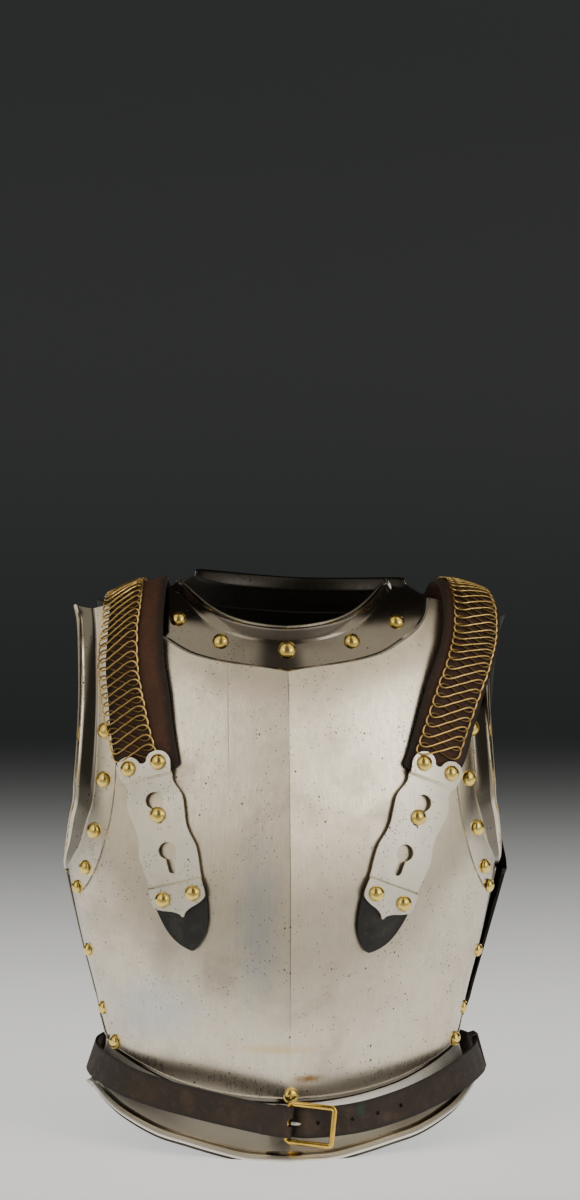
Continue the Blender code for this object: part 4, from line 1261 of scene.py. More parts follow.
def buildBuckle():
    middle, along, up, normal = beltFrame(foldShare)
    bar = middle - normal * foldRadius
    centre = bar + along * (buckleWidth / 2 - buckleBar / 2) + normal * buckleRise
    halfW = (buckleWidth - buckleBar) / 2
    halfH = (buckleHeight - buckleBar) / 2
    loop = []
    for sx, sy, start in ((1, 1, 0), (-1, 1, 90), (-1, -1, 180), (1, -1, 270)):
        for turn in range(0, 91, 15):
            angle = math.radians(start + turn)
            x = sx * (halfW - buckleCorner) + buckleCorner * math.cos(angle)
            y = sy * (halfH - buckleCorner) + buckleCorner * math.sin(angle)
            loop.append((x, y))
    points = []
    sides = 16
    for k, (x, y) in enumerate(loop):
        before, after = Vector(loop[k - 1]), Vector(loop[(k + 1) % len(loop)])
        way = (after - before).normalized()
        onBar = x < -halfW + 2 * mm
        radius = buckleBar / 2 * (0.62 if onBar else 1)
        tilt = normal * ((halfW - x) / (2 * halfW) * -buckleRise)
        spot = centre + along * x + up * y + tilt
        points += ring(spot, (along * way.y - up * way.x) * radius, normal * radius * 0.8, sides)
    makeObject("buckle_frame", points, ringFaces(len(loop), sides))
    buildProng(bar, along, up, normal)


def buildProng(bar, along, up, normal):
    sides = 14
    points = []
    for row in prongPath:
        centre = bar + along * row["forward"] * mm + normal * row["out"] * mm
        radius = row["radius"] * mm
        points += ring(centre, up * radius, normal * radius, sides)
    faces = ringFaces(len(prongPath), sides, closed=False)
    faces.append(list(range(sides))[::-1])
    faces.append([(len(prongPath) - 1) * sides + s for s in range(sides)])
    makeObject("buckle_prong", points, faces)


# Rivets and studs

def lathe(name, profile, centre, axis, segments=36):
    axis = axis.normalized()
    side = axis.orthogonal().normalized()
    other = axis.cross(side)
    points, faces, rings = [], [], []
    for radius, height in profile:
        middle = centre + axis * height
        spots = ring(middle, side * radius, other * radius, segments) if radius else [middle]
        rings.append(range(len(points), len(points) + len(spots)))
        points += spots
    for low, high in zip(rings, rings[1:]):
        for k in range(segments):
            n = (k + 1) % segments
            if len(low) == 1:
                faces.append([low[0], high[n], high[k]])
            elif len(high) == 1:
                faces.append([low[k], low[n], high[0]])
            else:
                faces.append([low[k], low[n], high[n], high[k]])
    makeObject(name, points, faces)


domeRim = 0.08  # share of a dome's height that stands upright
seatGap = 0.2 * mm
rayStart = {"front": 30 * mm, "back": 20 * mm}


def dome(name, centre, axis, diameter, height):
    radius = diameter / 2
    profile = [(0, 0), (radius, 0), (radius, height * domeRim)]
    for k in range(1, 10):
        turn = math.pi / 2 * k / 9
        reach = radius * math.cos(turn) if k < 9 else 0
        profile.append((reach, height * (domeRim + (1 - domeRim) * math.sin(turn) ** 0.92)))
    lathe(name, profile, centre, axis)


def seatedDome(name, tree, start, toward, size=1.0, rise=1.0):
    # a dome that stands on the highest place under its rim
    diameter = domeDiameter * size
    spot, normal, _, _ = tree.ray_cast(start, toward)
    if normal.dot(toward) > 0:
        normal = -normal
    side = normal.orthogonal().normalized()
    other = normal.cross(side)
    highest = 0
    for out in ring(Vector(), side, other, 16):
        for reach in (0.5, 0.8, 1.0):
            away = out * (diameter / 2 * reach)
            hit, _, _, _ = tree.ray_cast(spot + away + normal * 6 * mm, -normal, 12 * mm)
            if hit:
                highest = max(highest, (hit - spot).dot(normal))
    dome(name, spot + normal * (highest + seatGap), normal, diameter, domeHeight * size * rise)


chestRivets = table(
    "name x level away_x away_depth size",
    [
        ("neck_rivet_1", -0.486, 0.927, -0.35, -1, 1.0),
        ("neck_rivet_2", -0.296, 0.888, -0.2, -1, 1.0),
        ("neck_rivet_3", 0.000, 0.873, 0, -1, 1.1),
        ("neck_rivet_4", 0.296, 0.888, 0.2, -1, 1.0),
        ("neck_rivet_5", 0.508, 0.922, 0.35, -1, 1.0),
        ("arm_rivet_left_1", -0.816, 0.730, -0.7, -1, 1.0),
        ("arm_rivet_left_2", -0.822, 0.644, -0.8, -1, 1.0),
        ("arm_rivet_left_3", -0.865, 0.553, -1, -1, 1.0),
        ("arm_rivet_left_4", -0.905, 0.486, -1, -0.8, 0.9),
        ("arm_rivet_right_1", 0.840, 0.732, 0.7, -1, 1.0),
        ("arm_rivet_right_2", 0.832, 0.644, 0.8, -1, 1.0),
        ("arm_rivet_right_3", 0.872, 0.555, 1, -1, 1.0),
        ("arm_rivet_right_4", 0.912, 0.484, 1, -0.8, 0.9),
        ("side_rivet_left_1", -0.886, 0.336, -1, -0.35, 0.86),
        ("side_rivet_left_2", -0.824, 0.230, -1, -0.35, 0.86),
        ("side_rivet_left_3", -0.944, 0.448, -1, -0.35, 0.86),
        ("side_rivet_right_1", 0.886, 0.330, 1, -0.35, 0.86),
        ("side_rivet_right_2", 0.824, 0.226, 1, -0.35, 0.86),
        ("side_rivet_right_3", 0.936, 0.447, 1, -0.35, 0.86),
        ("waist_stud_left", -0.765, 0.172, -1, -0.8, 0.95),
        ("waist_stud_right", 0.775, 0.172, 1, -0.8, 0.95),
    ],
)


waistStud = {"x": 1 * mm, "level": 0.1035, "from": -170 * mm}
haspDome = {"size": 0.97, "rise": 1.08 / 0.97}
strapRivets = {"share": 0.968, "across": (0.3, 0.7), "size": 0.8}
beltRivets = {"shares": (0.012, 0.036), "size": 0.75}
backRivets = {"x": (-0.27, 0.0, 0.27), "level": 0.952, "from": 0.2}


def buildChestRivets(tree):
    for row in chestRivets:
        target, _ = chestSpot(row["x"] * chestHalfWidth, row["level"] * plateHeight, 0)
        away = Vector((row["away_x"], row["away_depth"], 0)).normalized()
        seatedDome(row["name"], tree, target + away * rayStart["front"], -away, row["size"])
    start = Vector((waistStud["x"], waistStud["from"], waistStud["level"] * plateHeight))
    seatedDome("waist_stud_centre", tree, start, Vector((0, 1, 0)))


def buildHaspRivets():
    for side in ("left", "right"):
        haspTree = treeOf(fine["hasp_" + side])
        place = haspPlace(side, lambda t: rayStart["front"])
        low = haspPlace(side, lambda t: 0)
        spots = [(t, w) for t in (upperRivetT, lowerRivetT) for w in (-lobeOffset, lobeOffset)]
        for number, (t, w) in enumerate(spots, 1):
            start = place(t, w)
            toward = (low(t, w) - start).normalized()
            seatedDome(f"hasp_rivet_{side}_{number}", haspTree, start, toward, **haspDome)
        buildStud(side, low(studT, 0), (place(studT, 0) - low(studT, 0)).normalized())


def buildStud(side, base, axis):
    # a mushroom stud: a stem through the keyhole and a head over the hasp
    stem = 2.2 * mm
    foot = 0.25 * mm
    under = haspGap + haspThickness + 0.5 * mm
    head = studHead / 2
    profile = [
        (0, foot), (stem, foot), (stem, under), (head, under),
        (head * 0.95, under + 2.2 * mm), (head * 0.62, under + 4.4 * mm), (0, under + 5.2 * mm),
    ]
    lathe("hasp_stud_" + side, profile, base, axis)


def buildBackRivets():
    for side in ("left", "right"):
        strapTree = treeOf(fine["shoulder_strap_" + side])
        place = strapPlace(side)
        for number, w in enumerate(strapRivets["across"], 1):
            normal = strapNormal(place, strapRivets["share"], w)
            start = place(strapRivets["share"], w) + normal * rayStart["back"]
            seatedDome(f"strap_rivet_{side}_{number}", strapTree, start, -normal, strapRivets["size"])
        beltTree = treeOf(fine["belt_buckle_side" if side == "left" else "belt_tongue_side"])
        for number, share in enumerate(beltRivets["shares"], 1):
            middle, _, _, normal = beltFrame(share if side == "left" else 1 - share)
            start = middle + normal * rayStart["back"]
            seatedDome(f"belt_rivet_{side}_{number}", beltTree, start, -normal, beltRivets["size"])
    backTree = treeOf(fine["backplate"])
    for number, x in enumerate(backRivets["x"], 1):
        across = x * chestHalfWidth + backLean * plateHeight
        start = Vector((across, backRivets["from"], backRivets["level"] * plateHeight))
        seatedDome(f"back_neck_rivet_{number}", backTree, start, Vector((0, -1, 0)))


# Dressing: each fine piece stands for the CAD node of its name

# Width of the bevel on each kind of piece, left and right alike
softEdges = {
    "breastplate": 0.5 * mm,
    "backplate": 0.4 * mm,
    "hasp": 0.35 * mm,
    "shoulder_strap": 0.8 * mm,
    "leather_tab": 0.8 * mm,
    "belt_buckle_side": 0.6 * mm,
    "belt_tongue_side": 0.6 * mm,
    "belt_keeper": 0.5 * mm,
}
baseMiddle = Vector((4.6125 * mm, -21.4116 * mm, 0))


def bevelEdges(made, width):
    bevel = made.modifiers.new("softEdges", "BEVEL")
    bevel.width = width
    bevel.segments = 2
    bevel.limit_method = "ANGLE"
    bevel.angle_limit = math.radians(50)
    bevel.harden_normals = False


def standOnBase():
    # the same flattened rims and middle of the base as the solids
    for made in fine.values():
        for vertex in made.data.vertices:
            vertex.co.z = max(vertex.co.z, 0)
            vertex.co -= baseMiddle


def slotOf(name):
    return next(part["material_slot"] for part in frame["record"]["subparts"] if part["node"] == name)


def dressAll(looks):
    for name, made in fine.items():
        made.data.materials.clear()
        made.data.materials.append(looks[slotOf(name)])
        kind = name.removesuffix("_left").removesuffix("_right")
        if kind in softEdges:
            bevelEdges(made, softEdges[kind])
        if name.endswith("plate"):
            # wide faces keep their own direction, so the bends stay narrow
            even = made.modifiers.new("evenNormals", "WEIGHTED_NORMAL")
            even.keep_sharp = True
        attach(made, "root")
        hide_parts(name)


# Shader helpers and groups

def feed(tree, socket, value):
    # links another node's socket, or sets a plain value
    if isinstance(value, bpy.types.NodeSocket):
        tree.links.new(value, socket)
    else:
        socket.default_value = value


def addNode(tree, kind, inputs=None, **settings):
    made = tree.nodes.new(kind)
    for key, value in settings.items():
        setattr(made, key, value)
    for key, value in (inputs or {}).items():
        feed(tree, made.inputs[key], value)
    return made


def mathNode(tree, operation, a, b=0.0, clamp=False):
    made = addNode(tree, "ShaderNodeMath", {0: a, 1: b}, operation=operation, use_clamp=clamp)
    return made.outputs[0]


def times(tree, a, b):
    return mathNode(tree, "MULTIPLY", a, b)


def plus(tree, a, b, clamp=False):
    return mathNode(tree, "ADD", a, b, clamp)


def rangeNode(tree, value, low, high, toLow=0.0, toHigh=1.0, smooth=True):
    inputs = {"Value": value, "From Min": low, "From Max": high, "To Min": toLow, "To Max": toHigh}
    settings = {"interpolation_type": "SMOOTHSTEP"} if smooth else {}
    return addNode(tree, "ShaderNodeMapRange", inputs, **settings).outputs["Result"]


def band(tree, value, start, full, fullEnd, end):
    # 1 between full and fullEnd, falling to 0 at start and end
    return times(tree, rangeNode(tree, value, start, full), rangeNode(tree, value, end, fullEnd))


def mixColour(tree, share, a, b, blend="MIX"):
    made = addNode(tree, "ShaderNodeMix", data_type="RGBA", blend_type=blend)
    sockets = {socket.identifier: socket for socket in [*made.inputs, *made.outputs]}
    for key, value in (("Factor_Float", share), ("A_Color", a), ("B_Color", b)):
        feed(tree, sockets[key], value)
    return sockets["Result_Color"]


def newGroup(name, inputs, *outputs):
    tree = bpy.data.node_groups.new(name, "ShaderNodeTree")
    for socketName, default in inputs.items():
        socket = tree.interface.new_socket(socketName, in_out="INPUT", socket_type="NodeSocketFloat")
        socket.default_value = default
    for socketName in outputs:
        tree.interface.new_socket(socketName, in_out="OUTPUT", socket_type="NodeSocketFloat")
    start = tree.nodes.new("NodeGroupInput").outputs
    end = tree.nodes.new("NodeGroupOutput").inputs
    spot = tree.nodes.new("ShaderNodeTexCoord").outputs["Object"]
    return tree, start, end, spot


def addGroup(tree, group, **inputs):
    made = tree.nodes.new("ShaderNodeGroup")
    made.node_tree = group
    for key, value in inputs.items():
        feed(tree, made.inputs[key], value)
    return made.outputs


def stretched(tree, spot, x, y, z):
    made = addNode(tree, "ShaderNodeMapping", {"Vector": spot, "Scale": (x, y, z)})
    return made.outputs["Vector"]


def noise(tree, spot, scale, detail=5.0, roughness=0.55, distortion=0.0):
    inputs = {"Scale": scale, "Detail": detail, "Roughness": roughness, "Distortion": distortion}
    return addNode(tree, "ShaderNodeTexNoise", {"Vector": spot, **inputs}).outputs["Fac"]


def streakGroup():
    # fine upright polishing marks, with a few longer ones
    tree, start, end, spot = newGroup("polishMarks", {"Fine": 1.0}, "Marks", "Height")
    fineMarks = noise(tree, stretched(tree, spot, 1500, 1500, 16), 1.0, 4.0, 0.6)
    longMarks = noise(tree, stretched(tree, spot, 380, 380, 4), 1.0, 3.0, 0.5)
    slanted = noise(tree, stretched(tree, spot, 700, 700, 24), 1.0, 3.0, 0.6, 0.6)
    both = plus(tree, times(tree, fineMarks, 0.5), times(tree, longMarks, 0.3))
    total = plus(tree, both, times(tree, slanted, 0.2))
    feed(tree, end["Marks"], rangeNode(tree, total, 0.36, 0.64))
    feed(tree, end["Height"], times(tree, total, start["Fine"]))
    return tree


def pitGroup():
    # small dark pits in loose clusters
    tree, start, end, spot = newGroup("pits", {"Scale": 420.0, "Size": 0.2, "Share": 0.5}, "Mask")
    cells = addNode(
        tree, "ShaderNodeTexVoronoi",
        {"Vector": stretched(tree, spot, 1, 1, 0.8), "Scale": start["Scale"], "Randomness": 1.0},
    )
    near = mathNode(tree, "LESS_THAN", cells.outputs["Distance"], start["Size"])
    pick = addNode(tree, "ShaderNodeSeparateColor", {"Color": cells.outputs["Color"]}).outputs["Red"]
    cluster = rangeNode(tree, noise(tree, spot, 26.0, 3.0), 0.4, 0.72)
    wanted = mathNode(tree, "LESS_THAN", pick, times(tree, cluster, start["Share"]))
    feed(tree, end["Mask"], times(tree, near, wanted))
    return tree


def cloudGroup():
    # wide soft blotches, as the tarnish and old stains lie
    tree, start, end, spot = newGroup("clouds", {"Scale": 14.0, "Low": 0.45, "High": 0.7}, "Mask")
    wide = noise(tree, spot, start["Scale"], 6.0, 0.62, 0.5)
    feed(tree, end["Mask"], rangeNode(tree, wide, start["Low"], start["High"]))
    return tree


def contactGroup():
    # dirt and painted shade where one piece meets another, darker where other surfaces lie near
    tree, start, end, spot = newGroup("contactDirtAndShade", {"Reach": 0.004, "Clean": 0.72}, "Mask")
    shade = addNode(tree, "ShaderNodeAmbientOcclusion", {"Distance": start["Reach"]}, samples=6)
    uneven = times(tree, mathNode(tree, "SUBTRACT", noise(tree, spot, 260.0, 4.0), 0.5), 0.25)
    lifted = plus(tree, shade.outputs["AO"], uneven)
    feed(tree, end["Mask"], rangeNode(tree, lifted, start["Clean"], 0.25))
    return tree


def spotGroup():
    # one ragged blotch round a given place on the front
    inputs = {"X": 0.0, "Z": 0.0, "Wide": 0.01, "High": 0.01, "Ragged": 0.8}
    tree, start, end, spot = newGroup("blotch", inputs, "Mask")
    place = addNode(tree, "ShaderNodeSeparateXYZ", {"Vector": spot}).outputs
    squares = []
    for name, reach in (("X", "Wide"), ("Z", "High")):
        apart = mathNode(tree, "SUBTRACT", place[name], start[name])
        ratio = mathNode(tree, "DIVIDE", apart, start[reach])
        squares.append(times(tree, ratio, ratio))
    far = mathNode(tree, "SQRT", plus(tree, *squares))
    uneven = mathNode(tree, "SUBTRACT", noise(tree, spot, 90.0, 5.0, 0.65), 0.5)
    far = plus(tree, far, times(tree, uneven, start["Ragged"]))
    front = mathNode(tree, "LESS_THAN", place["Y"], 0.0)
    feed(tree, end["Mask"], times(tree, rangeNode(tree, far, 1.1, 0.2), front))
    return tree


def grainGroup():
    # leather grain: small cells with creases between them
    tree, start, end, spot = newGroup("leatherGrain", {"Scale": 900.0}, "Height", "Crease")
    warped = addNode(tree, "ShaderNodeTexNoise", {"Vector": spot, "Scale": 300.0, "Detail": 3.0})
    moved = addNode(
        tree, "ShaderNodeMix", {0: 0.004, 4: spot, 5: warped.outputs["Color"]}, data_type="VECTOR",
    )
    cells = addNode(
        tree, "ShaderNodeTexVoronoi", {"Vector": moved.outputs[1], "Scale": start["Scale"]},
        feature="DISTANCE_TO_EDGE",
    )
    edge = rangeNode(tree, cells.outputs["Distance"], 0.0, 0.16)
    fibres = noise(tree, spot, 1600.0, 5.0, 0.65)
    feed(tree, end["Height"], plus(tree, edge, times(tree, fibres, 0.5)))
    feed(tree, end["Crease"], mathNode(tree, "SUBTRACT", 1.0, edge))
    return tree


# Marks on the front, each at its own place: middle, half size, how ragged, colour and strength. Most are old
# stains; the thin dark lines along the ridge and the dark patch on the neck band are painted shade

chestMarks = table(
    "x z wide high ragged colour share",
    [
        (-15, 85, 36, 5, 1.2, (0.80, 0.58, 0.26, 1), 0.6),
        (-60, 142, 20, 24, 1.6, (0.46, 0.36, 0.30, 1), 0.45),
        (-104, 160, 16, 40, 1.6, (0.50, 0.42, 0.36, 1), 0.4),
        (-30, 190, 22, 90, 1.2, (0.50, 0.53, 0.60, 1), 0.5),
        (-112, 112, 46, 34, 1.2, (0.55, 0.60, 0.66, 1), 0.5),
        (-34, 374, 34, 14, 1.2, (0.80, 0.64, 0.54, 1), 0.6),
        (-53.2, 345, 0.45, 58, 0.25, (0.16, 0.12, 0.10, 1), 0.8),
        # painted shade: thin dark lines along the ridge
        (-4.6, 372, 0.8, 22, 0.5, (0.16, 0.13, 0.11, 1), 0.7),
        (-4.6, 215, 0.55, 185, 0.3, (0.10, 0.085, 0.075, 1), 0.8),
        (12, 61, 15, 4.5, 1.4, (0.30, 0.15, 0.03, 1), 0.9),
        # painted shade over the neck band
        (-4, 413, 52, 15, 0.6, (0.16, 0.12, 0.095, 1), 0.8),
        (60, 120, 40, 26, 1.6, (0.52, 0.45, 0.38, 1), 0.35),
        (84, 250, 16, 70, 1.6, (0.56, 0.50, 0.42, 1), 0.3),
    ],
)
beltMarks = table(
    "x z wide high ragged colour share",
    [(52, 39, 5, 7, 1.0, (0.02, 0.055, 0.035, 1), 0.8)],
)


def addMarks(tree, group, rows, colour):
    for row in rows:
        places = {key: row[key.lower()] * mm for key in ("X", "Z", "Wide", "High")}
        blotch = addGroup(tree, group, Ragged=row["ragged"], **places)["Mask"]
        colour = mixColour(tree, times(tree, blotch, row["share"]), colour, row["colour"])
    return colour


def startMaterial(name):
    made = bpy.data.materials.new(name)
    made.use_nodes = True
    tree = made.node_tree
    return made, tree, tree.nodes["Principled BSDF"], tree.nodes.new("ShaderNodeTexCoord").outputs["Object"]


def putInto(tree, shader, **values):
    for key, value in values.items():
        feed(tree, shader.inputs[key.replace("_", " ")], value)


def bump(tree, height, distance, strength=1.0, normal=None):
    made = addNode(tree, "ShaderNodeBump", {"Height": height, "Distance": distance, "Strength": strength})
    if normal:
        tree.links.new(normal, made.inputs["Normal"])
    return made.outputs["Normal"]


def zoneOf(tree):
    return addNode(tree, "ShaderNodeAttribute", attribute_name="zone").outputs["Fac"]


# Each steel's colours and roughness, how much wear it shows, how much dirt and painted shade gather where
# pieces meet, and how its zones differ from the panel: painted shade in the trough and on the neck, painted
# light on the skirt

steels = {
    "polished_steel": {
        "clean": (0.85, 0.77, 0.62, 1), "stain": (0.52, 0.43, 0.33, 1), "smooth": 0.25, "rough": 0.33,
        "stains": 0.5, "pits": 0.36, "dirtAndShade": 0.7, "reach": 1.3 * mm, "streaks": 0.17,
        "troughShade": 0.8, "neck": 0.78, "skirt": 0.85, "border": 0.5, "waves": 0.25 * mm,
        "warm": (0.95, 0.84, 0.76, 1), "cool": (0.86, 0.92, 0.97, 1),
    },
    "dark_steel": {
        "clean": (0.46, 0.43, 0.38, 1), "stain": (0.22, 0.19, 0.16, 1), "smooth": 0.26, "rough": 0.38,
        "stains": 0.7, "pits": 0.3, "dirtAndShade": 0.6, "reach": 1.5 * mm, "streaks": 0.1,
        "troughShade": 0.8, "neck": 0.5, "skirt": 0.2, "border": 0.6, "waves": 0.25 * mm,
        "warm": (0.95, 0.84, 0.76, 1), "cool": (0.86, 0.92, 0.97, 1),
    },
    "hasp_steel": {
        "clean": (0.97, 0.92, 0.80, 1), "stain": (0.56, 0.51, 0.43, 1), "smooth": 0.32, "rough": 0.44,
        "stains": 0.4, "pits": 0.5, "dirtAndShade": 0.9, "reach": 1.2 * mm, "streaks": 0.08,
        "troughShade": 0.0, "neck": 0.0, "skirt": 0.0, "border": 1.0, "waves": 0.05 * mm,
        "warm": (0.97, 0.90, 0.84, 1), "cool": (0.92, 0.95, 0.98, 1),
    },
    "prong_steel": {
        "clean": (0.72, 0.71, 0.70, 1), "stain": (0.4, 0.37, 0.34, 1), "smooth": 0.22, "rough": 0.40,
        "stains": 0.4, "pits": 0.3, "dirtAndShade": 0.7, "reach": 1.2 * mm, "streaks": 0.08,
        "troughShade": 0.0, "neck": 0.0, "skirt": 0.0, "border": 1.0, "waves": 0.02 * mm,
        "warm": (0.97, 0.90, 0.84, 1), "cool": (0.92, 0.95, 0.98, 1),
    },
}
# Tints mixed over the steel: real pits; dirt with painted shade where pieces meet; painted shade in the
# troughs and on the neck band; painted light on the flange; a near black for the inside
steelTints = {
    "pit": (0.05, 0.04, 0.035, 1), "grimeAndShade": (0.03, 0.024, 0.02, 1), "troughShade": (0.05, 0.045, 0.04, 1),
    "neck": (0.13, 0.112, 0.095, 1), "skirt": (0.93, 0.9, 0.84, 1), "insideTint": (0.022, 0.02, 0.018, 1),
}


def makeSteel(name, groups):
    look = steels[name]
    made, tree, shader, spot = startMaterial(name + "_look")
    marks = addGroup(tree, groups["marks"])

    def cloud(scale, low, high):
        return addGroup(tree, groups["clouds"], Scale=scale, Low=low, High=high)["Mask"]

    def pits(scale, size, share):
        return addGroup(tree, groups["pits"], Scale=scale, Size=size, Share=look["pits"] * share)["Mask"]

    stained = times(tree, cloud(13.0, 0.47, 0.72), look["stains"])
    speckle = times(tree, cloud(70.0, 0.42, 0.7), look["stains"] * 0.4)
    streaked = times(tree, marks["Marks"], look["streaks"])
    holes = mathNode(tree, "MAXIMUM", pits(520.0, 0.24, 1.0), pits(210.0, 0.16, 0.5))
    dirtAndShade = addGroup(tree, groups["contact"], Reach=look["reach"], Clean=0.82)["Mask"]
    grimeAndShade = times(tree, dirtAndShade, look["dirtAndShade"])
    zone = zoneOf(tree)
    troughShade = band(tree, zone, 0.72, 0.82, 0.87, 0.96)
    collarShade = rangeNode(tree, zone, 0.97, 1.0)
    skirt = band(tree, zone, 0.1, 0.28, 0.34, 0.5)
    insideTint = rangeNode(tree, zone, -0.2, -0.8)

    colour = mixColour(tree, stained, look["clean"], look["stain"])
    colour = mixColour(tree, times(tree, cloud(7.0, 0.5, 0.68), 0.4), colour, look["warm"], "MULTIPLY")
    colour = mixColour(tree, times(tree, cloud(5.0, 0.52, 0.66), 0.4), colour, look["cool"], "MULTIPLY")
    colour = mixColour(tree, speckle, colour, look["stain"])
    colour = mixColour(tree, streaked, colour, look["stain"])
    if name == "polished_steel":
        colour = addMarks(tree, groups["blotch"], chestMarks, colour)
    colour = mixColour(tree, times(tree, holes, 0.88), colour, steelTints["pit"])
    # dirt and painted shade where other pieces lie near the steel
    colour = mixColour(tree, grimeAndShade, colour, steelTints["grimeAndShade"])
    # painted shade in the arm flare's trough, in the groove behind the belt and at the foot of the bead
    colour = mixColour(tree, times(tree, troughShade, look["troughShade"]), colour, steelTints["troughShade"])
    # painted shade: the neck band is darkened
    colour = mixColour(tree, times(tree, collarShade, look["neck"]), colour, steelTints["neck"])
    # painted light: the flange between the groove and the bead is lightened
    colour = mixColour(tree, times(tree, skirt, look["skirt"]), colour, steelTints["skirt"])
    # the inside faces are made nearly black
    colour = mixColour(tree, times(tree, insideTint, 0.94), colour, steelTints["insideTint"])

    rough = rangeNode(tree, marks["Marks"], 0.0, 1.0, look["smooth"], look["rough"], False)
    rough = plus(tree, rough, times(tree, stained, 0.16))
    rough = times(tree, rough, rangeNode(tree, zone, 0.0, 1.0, 1.0, look["border"]))
    rough = plus(tree, rough, times(tree, skirt, look["skirt"] * 0.22))
    rough = plus(tree, rough, times(tree, mathNode(tree, "MAXIMUM", holes, grimeAndShade), 0.3), True)

    normal = bump(tree, noise(tree, stretched(tree, spot, 1, 1, 0.6), 24.0, 2.0), look["waves"])
    normal = bump(tree, marks["Height"], 0.003 * mm, 0.6, normal)
    normal = bump(tree, mathNode(tree, "SUBTRACT", 1.0, holes), 0.012 * mm, 0.5, normal)
    putInto(tree, shader, Base_Color=colour, Metallic=1.0, Roughness=rough, Normal=normal)
    return made


brasses = {
    "chain_brass": {
        "clean": (0.78, 0.53, 0.19, 1), "dull": (0.42, 0.25, 0.08, 1), "smooth": 0.22, "rough": 0.40,
        "dirtAndShade": 0.9, "reach": 4 * mm, "deep": (0.05, 0.6),
    },
    "brass": {
        "clean": (1.0, 0.76, 0.22, 1), "dull": (0.80, 0.52, 0.12, 1), "smooth": 0.16, "rough": 0.30,
        "dirtAndShade": 0.7, "reach": 1.6 * mm, "deep": (-2, -1),
    },
    "buckle_brass": {
        "clean": (0.86, 0.57, 0.12, 1), "dull": (0.5, 0.30, 0.07, 1), "smooth": 0.14, "rough": 0.28,
        "dirtAndShade": 0.7, "reach": 1.6 * mm, "deep": (-2, -1),
    },
}


def makeBrass(name, groups):
    look = brasses[name]
    made, tree, shader, spot = startMaterial(name + "_look")
    clouds = addGroup(tree, groups["clouds"], Scale=90.0, Low=0.42, High=0.72)["Mask"]
    pits = addGroup(tree, groups["pits"], Scale=900.0, Size=0.2, Share=0.5)["Mask"]
    dirtAndShade = addGroup(tree, groups["contact"], Reach=look["reach"])["Mask"]
    scratches = noise(tree, stretched(tree, spot, 1, 1, 0.3), 900.0, 5.0, 0.7)
    # painted shade on the chain's back wires, which lie nearer the leather
    inner, outer = look["deep"]
    deep = rangeNode(tree, zoneOf(tree), outer, inner, 0.0, 0.7)
    grimeAndShade = mathNode(tree, "MAXIMUM", times(tree, dirtAndShade, look["dirtAndShade"]), deep)
    colour = mixColour(tree, times(tree, clouds, 0.6), look["clean"], look["dull"])
    colour = mixColour(tree, times(tree, pits, 0.5), colour, (0.12, 0.07, 0.03, 1))
    # dirt and painted shade where pieces meet, with the painted shade on the back wires
    colour = mixColour(tree, grimeAndShade, colour, (0.035, 0.022, 0.012, 1))
    rough = rangeNode(tree, scratches, 0.35, 0.65, look["smooth"], look["rough"])
    rough = plus(tree, rough, times(tree, grimeAndShade, 0.35), True)
    normal = bump(tree, scratches, 0.03 * mm, 0.8)
    putInto(tree, shader, Base_Color=colour, Metallic=1.0, Roughness=rough, Normal=normal)
    return made


leathers = {
    # the strap's long reach and high open level paint shade on the strap under the chain
    "strap_leather": {
        "base": (0.100, 0.038, 0.016, 1), "worn": (0.19, 0.068, 0.030, 1), "edge": (0.010, 0.007, 0.006, 1),
        "smooth": 0.42, "rough": 0.66, "reach": 9 * mm, "open": 0.93,
    },
    "black_leather": {
        "base": (0.012, 0.0115, 0.0115, 1), "worn": (0.07, 0.062, 0.056, 1), "edge": (0.012, 0.011, 0.01, 1),
        "smooth": 0.34, "rough": 0.55, "reach": 2.5 * mm, "open": 0.72,
    },
    "belt_leather": {
        "base": (0.032, 0.018, 0.010, 1), "worn": (0.105, 0.060, 0.032, 1), "edge": (0.018, 0.013, 0.011, 1),
        "smooth": 0.38, "rough": 0.6, "reach": 2.5 * mm, "open": 0.72,
    },
}


def makeLeather(name, groups):
    look = leathers[name]
    made, tree, shader, spot = startMaterial(name + "_look")
    grain = addGroup(tree, groups["grain"], Scale=1100.0)
    clouds = addGroup(tree, groups["clouds"], Scale=38.0, Low=0.42, High=0.72)["Mask"]
    rubbed = addGroup(tree, groups["clouds"], Scale=150.0, Low=0.5, High=0.75)["Mask"]
    dirtAndShade = addGroup(tree, groups["contact"], Reach=look["reach"], Clean=look["open"])["Mask"]
    colour = mixColour(tree, times(tree, clouds, 0.75), look["base"], look["worn"])
    colour = mixColour(tree, times(tree, rubbed, 0.5), colour, look["worn"])
    colour = mixColour(tree, times(tree, grain["Crease"], 0.55), colour, look["edge"])
    # dirt and painted shade where other pieces lie near
    colour = mixColour(tree, times(tree, dirtAndShade, 0.9), colour, look["edge"])
    if name == "belt_leather":
        colour = addMarks(tree, groups["blotch"], beltMarks, colour)
    uneven = times(tree, mathNode(tree, "SUBTRACT", clouds, 0.5), 0.12)
    rim = rangeNode(tree, plus(tree, zoneOf(tree), uneven), 0.62, 0.95)
    colour = mixColour(tree, times(tree, rim, 0.85), colour, look["edge"])
    rough = rangeNode(tree, rubbed, 0.0, 1.0, look["rough"], look["smooth"], False)
    wrinkles = noise(tree, stretched(tree, spot, 1, 1, 2.2), 120.0, 4.0, 0.6, 0.4)
    normal = bump(tree, wrinkles, 0.5 * mm, 0.6)
    normal = bump(tree, grain["Height"], 0.12 * mm, 0.9, normal)
    putInto(tree, shader, Base_Color=colour, Roughness=rough, Normal=normal)
    return made


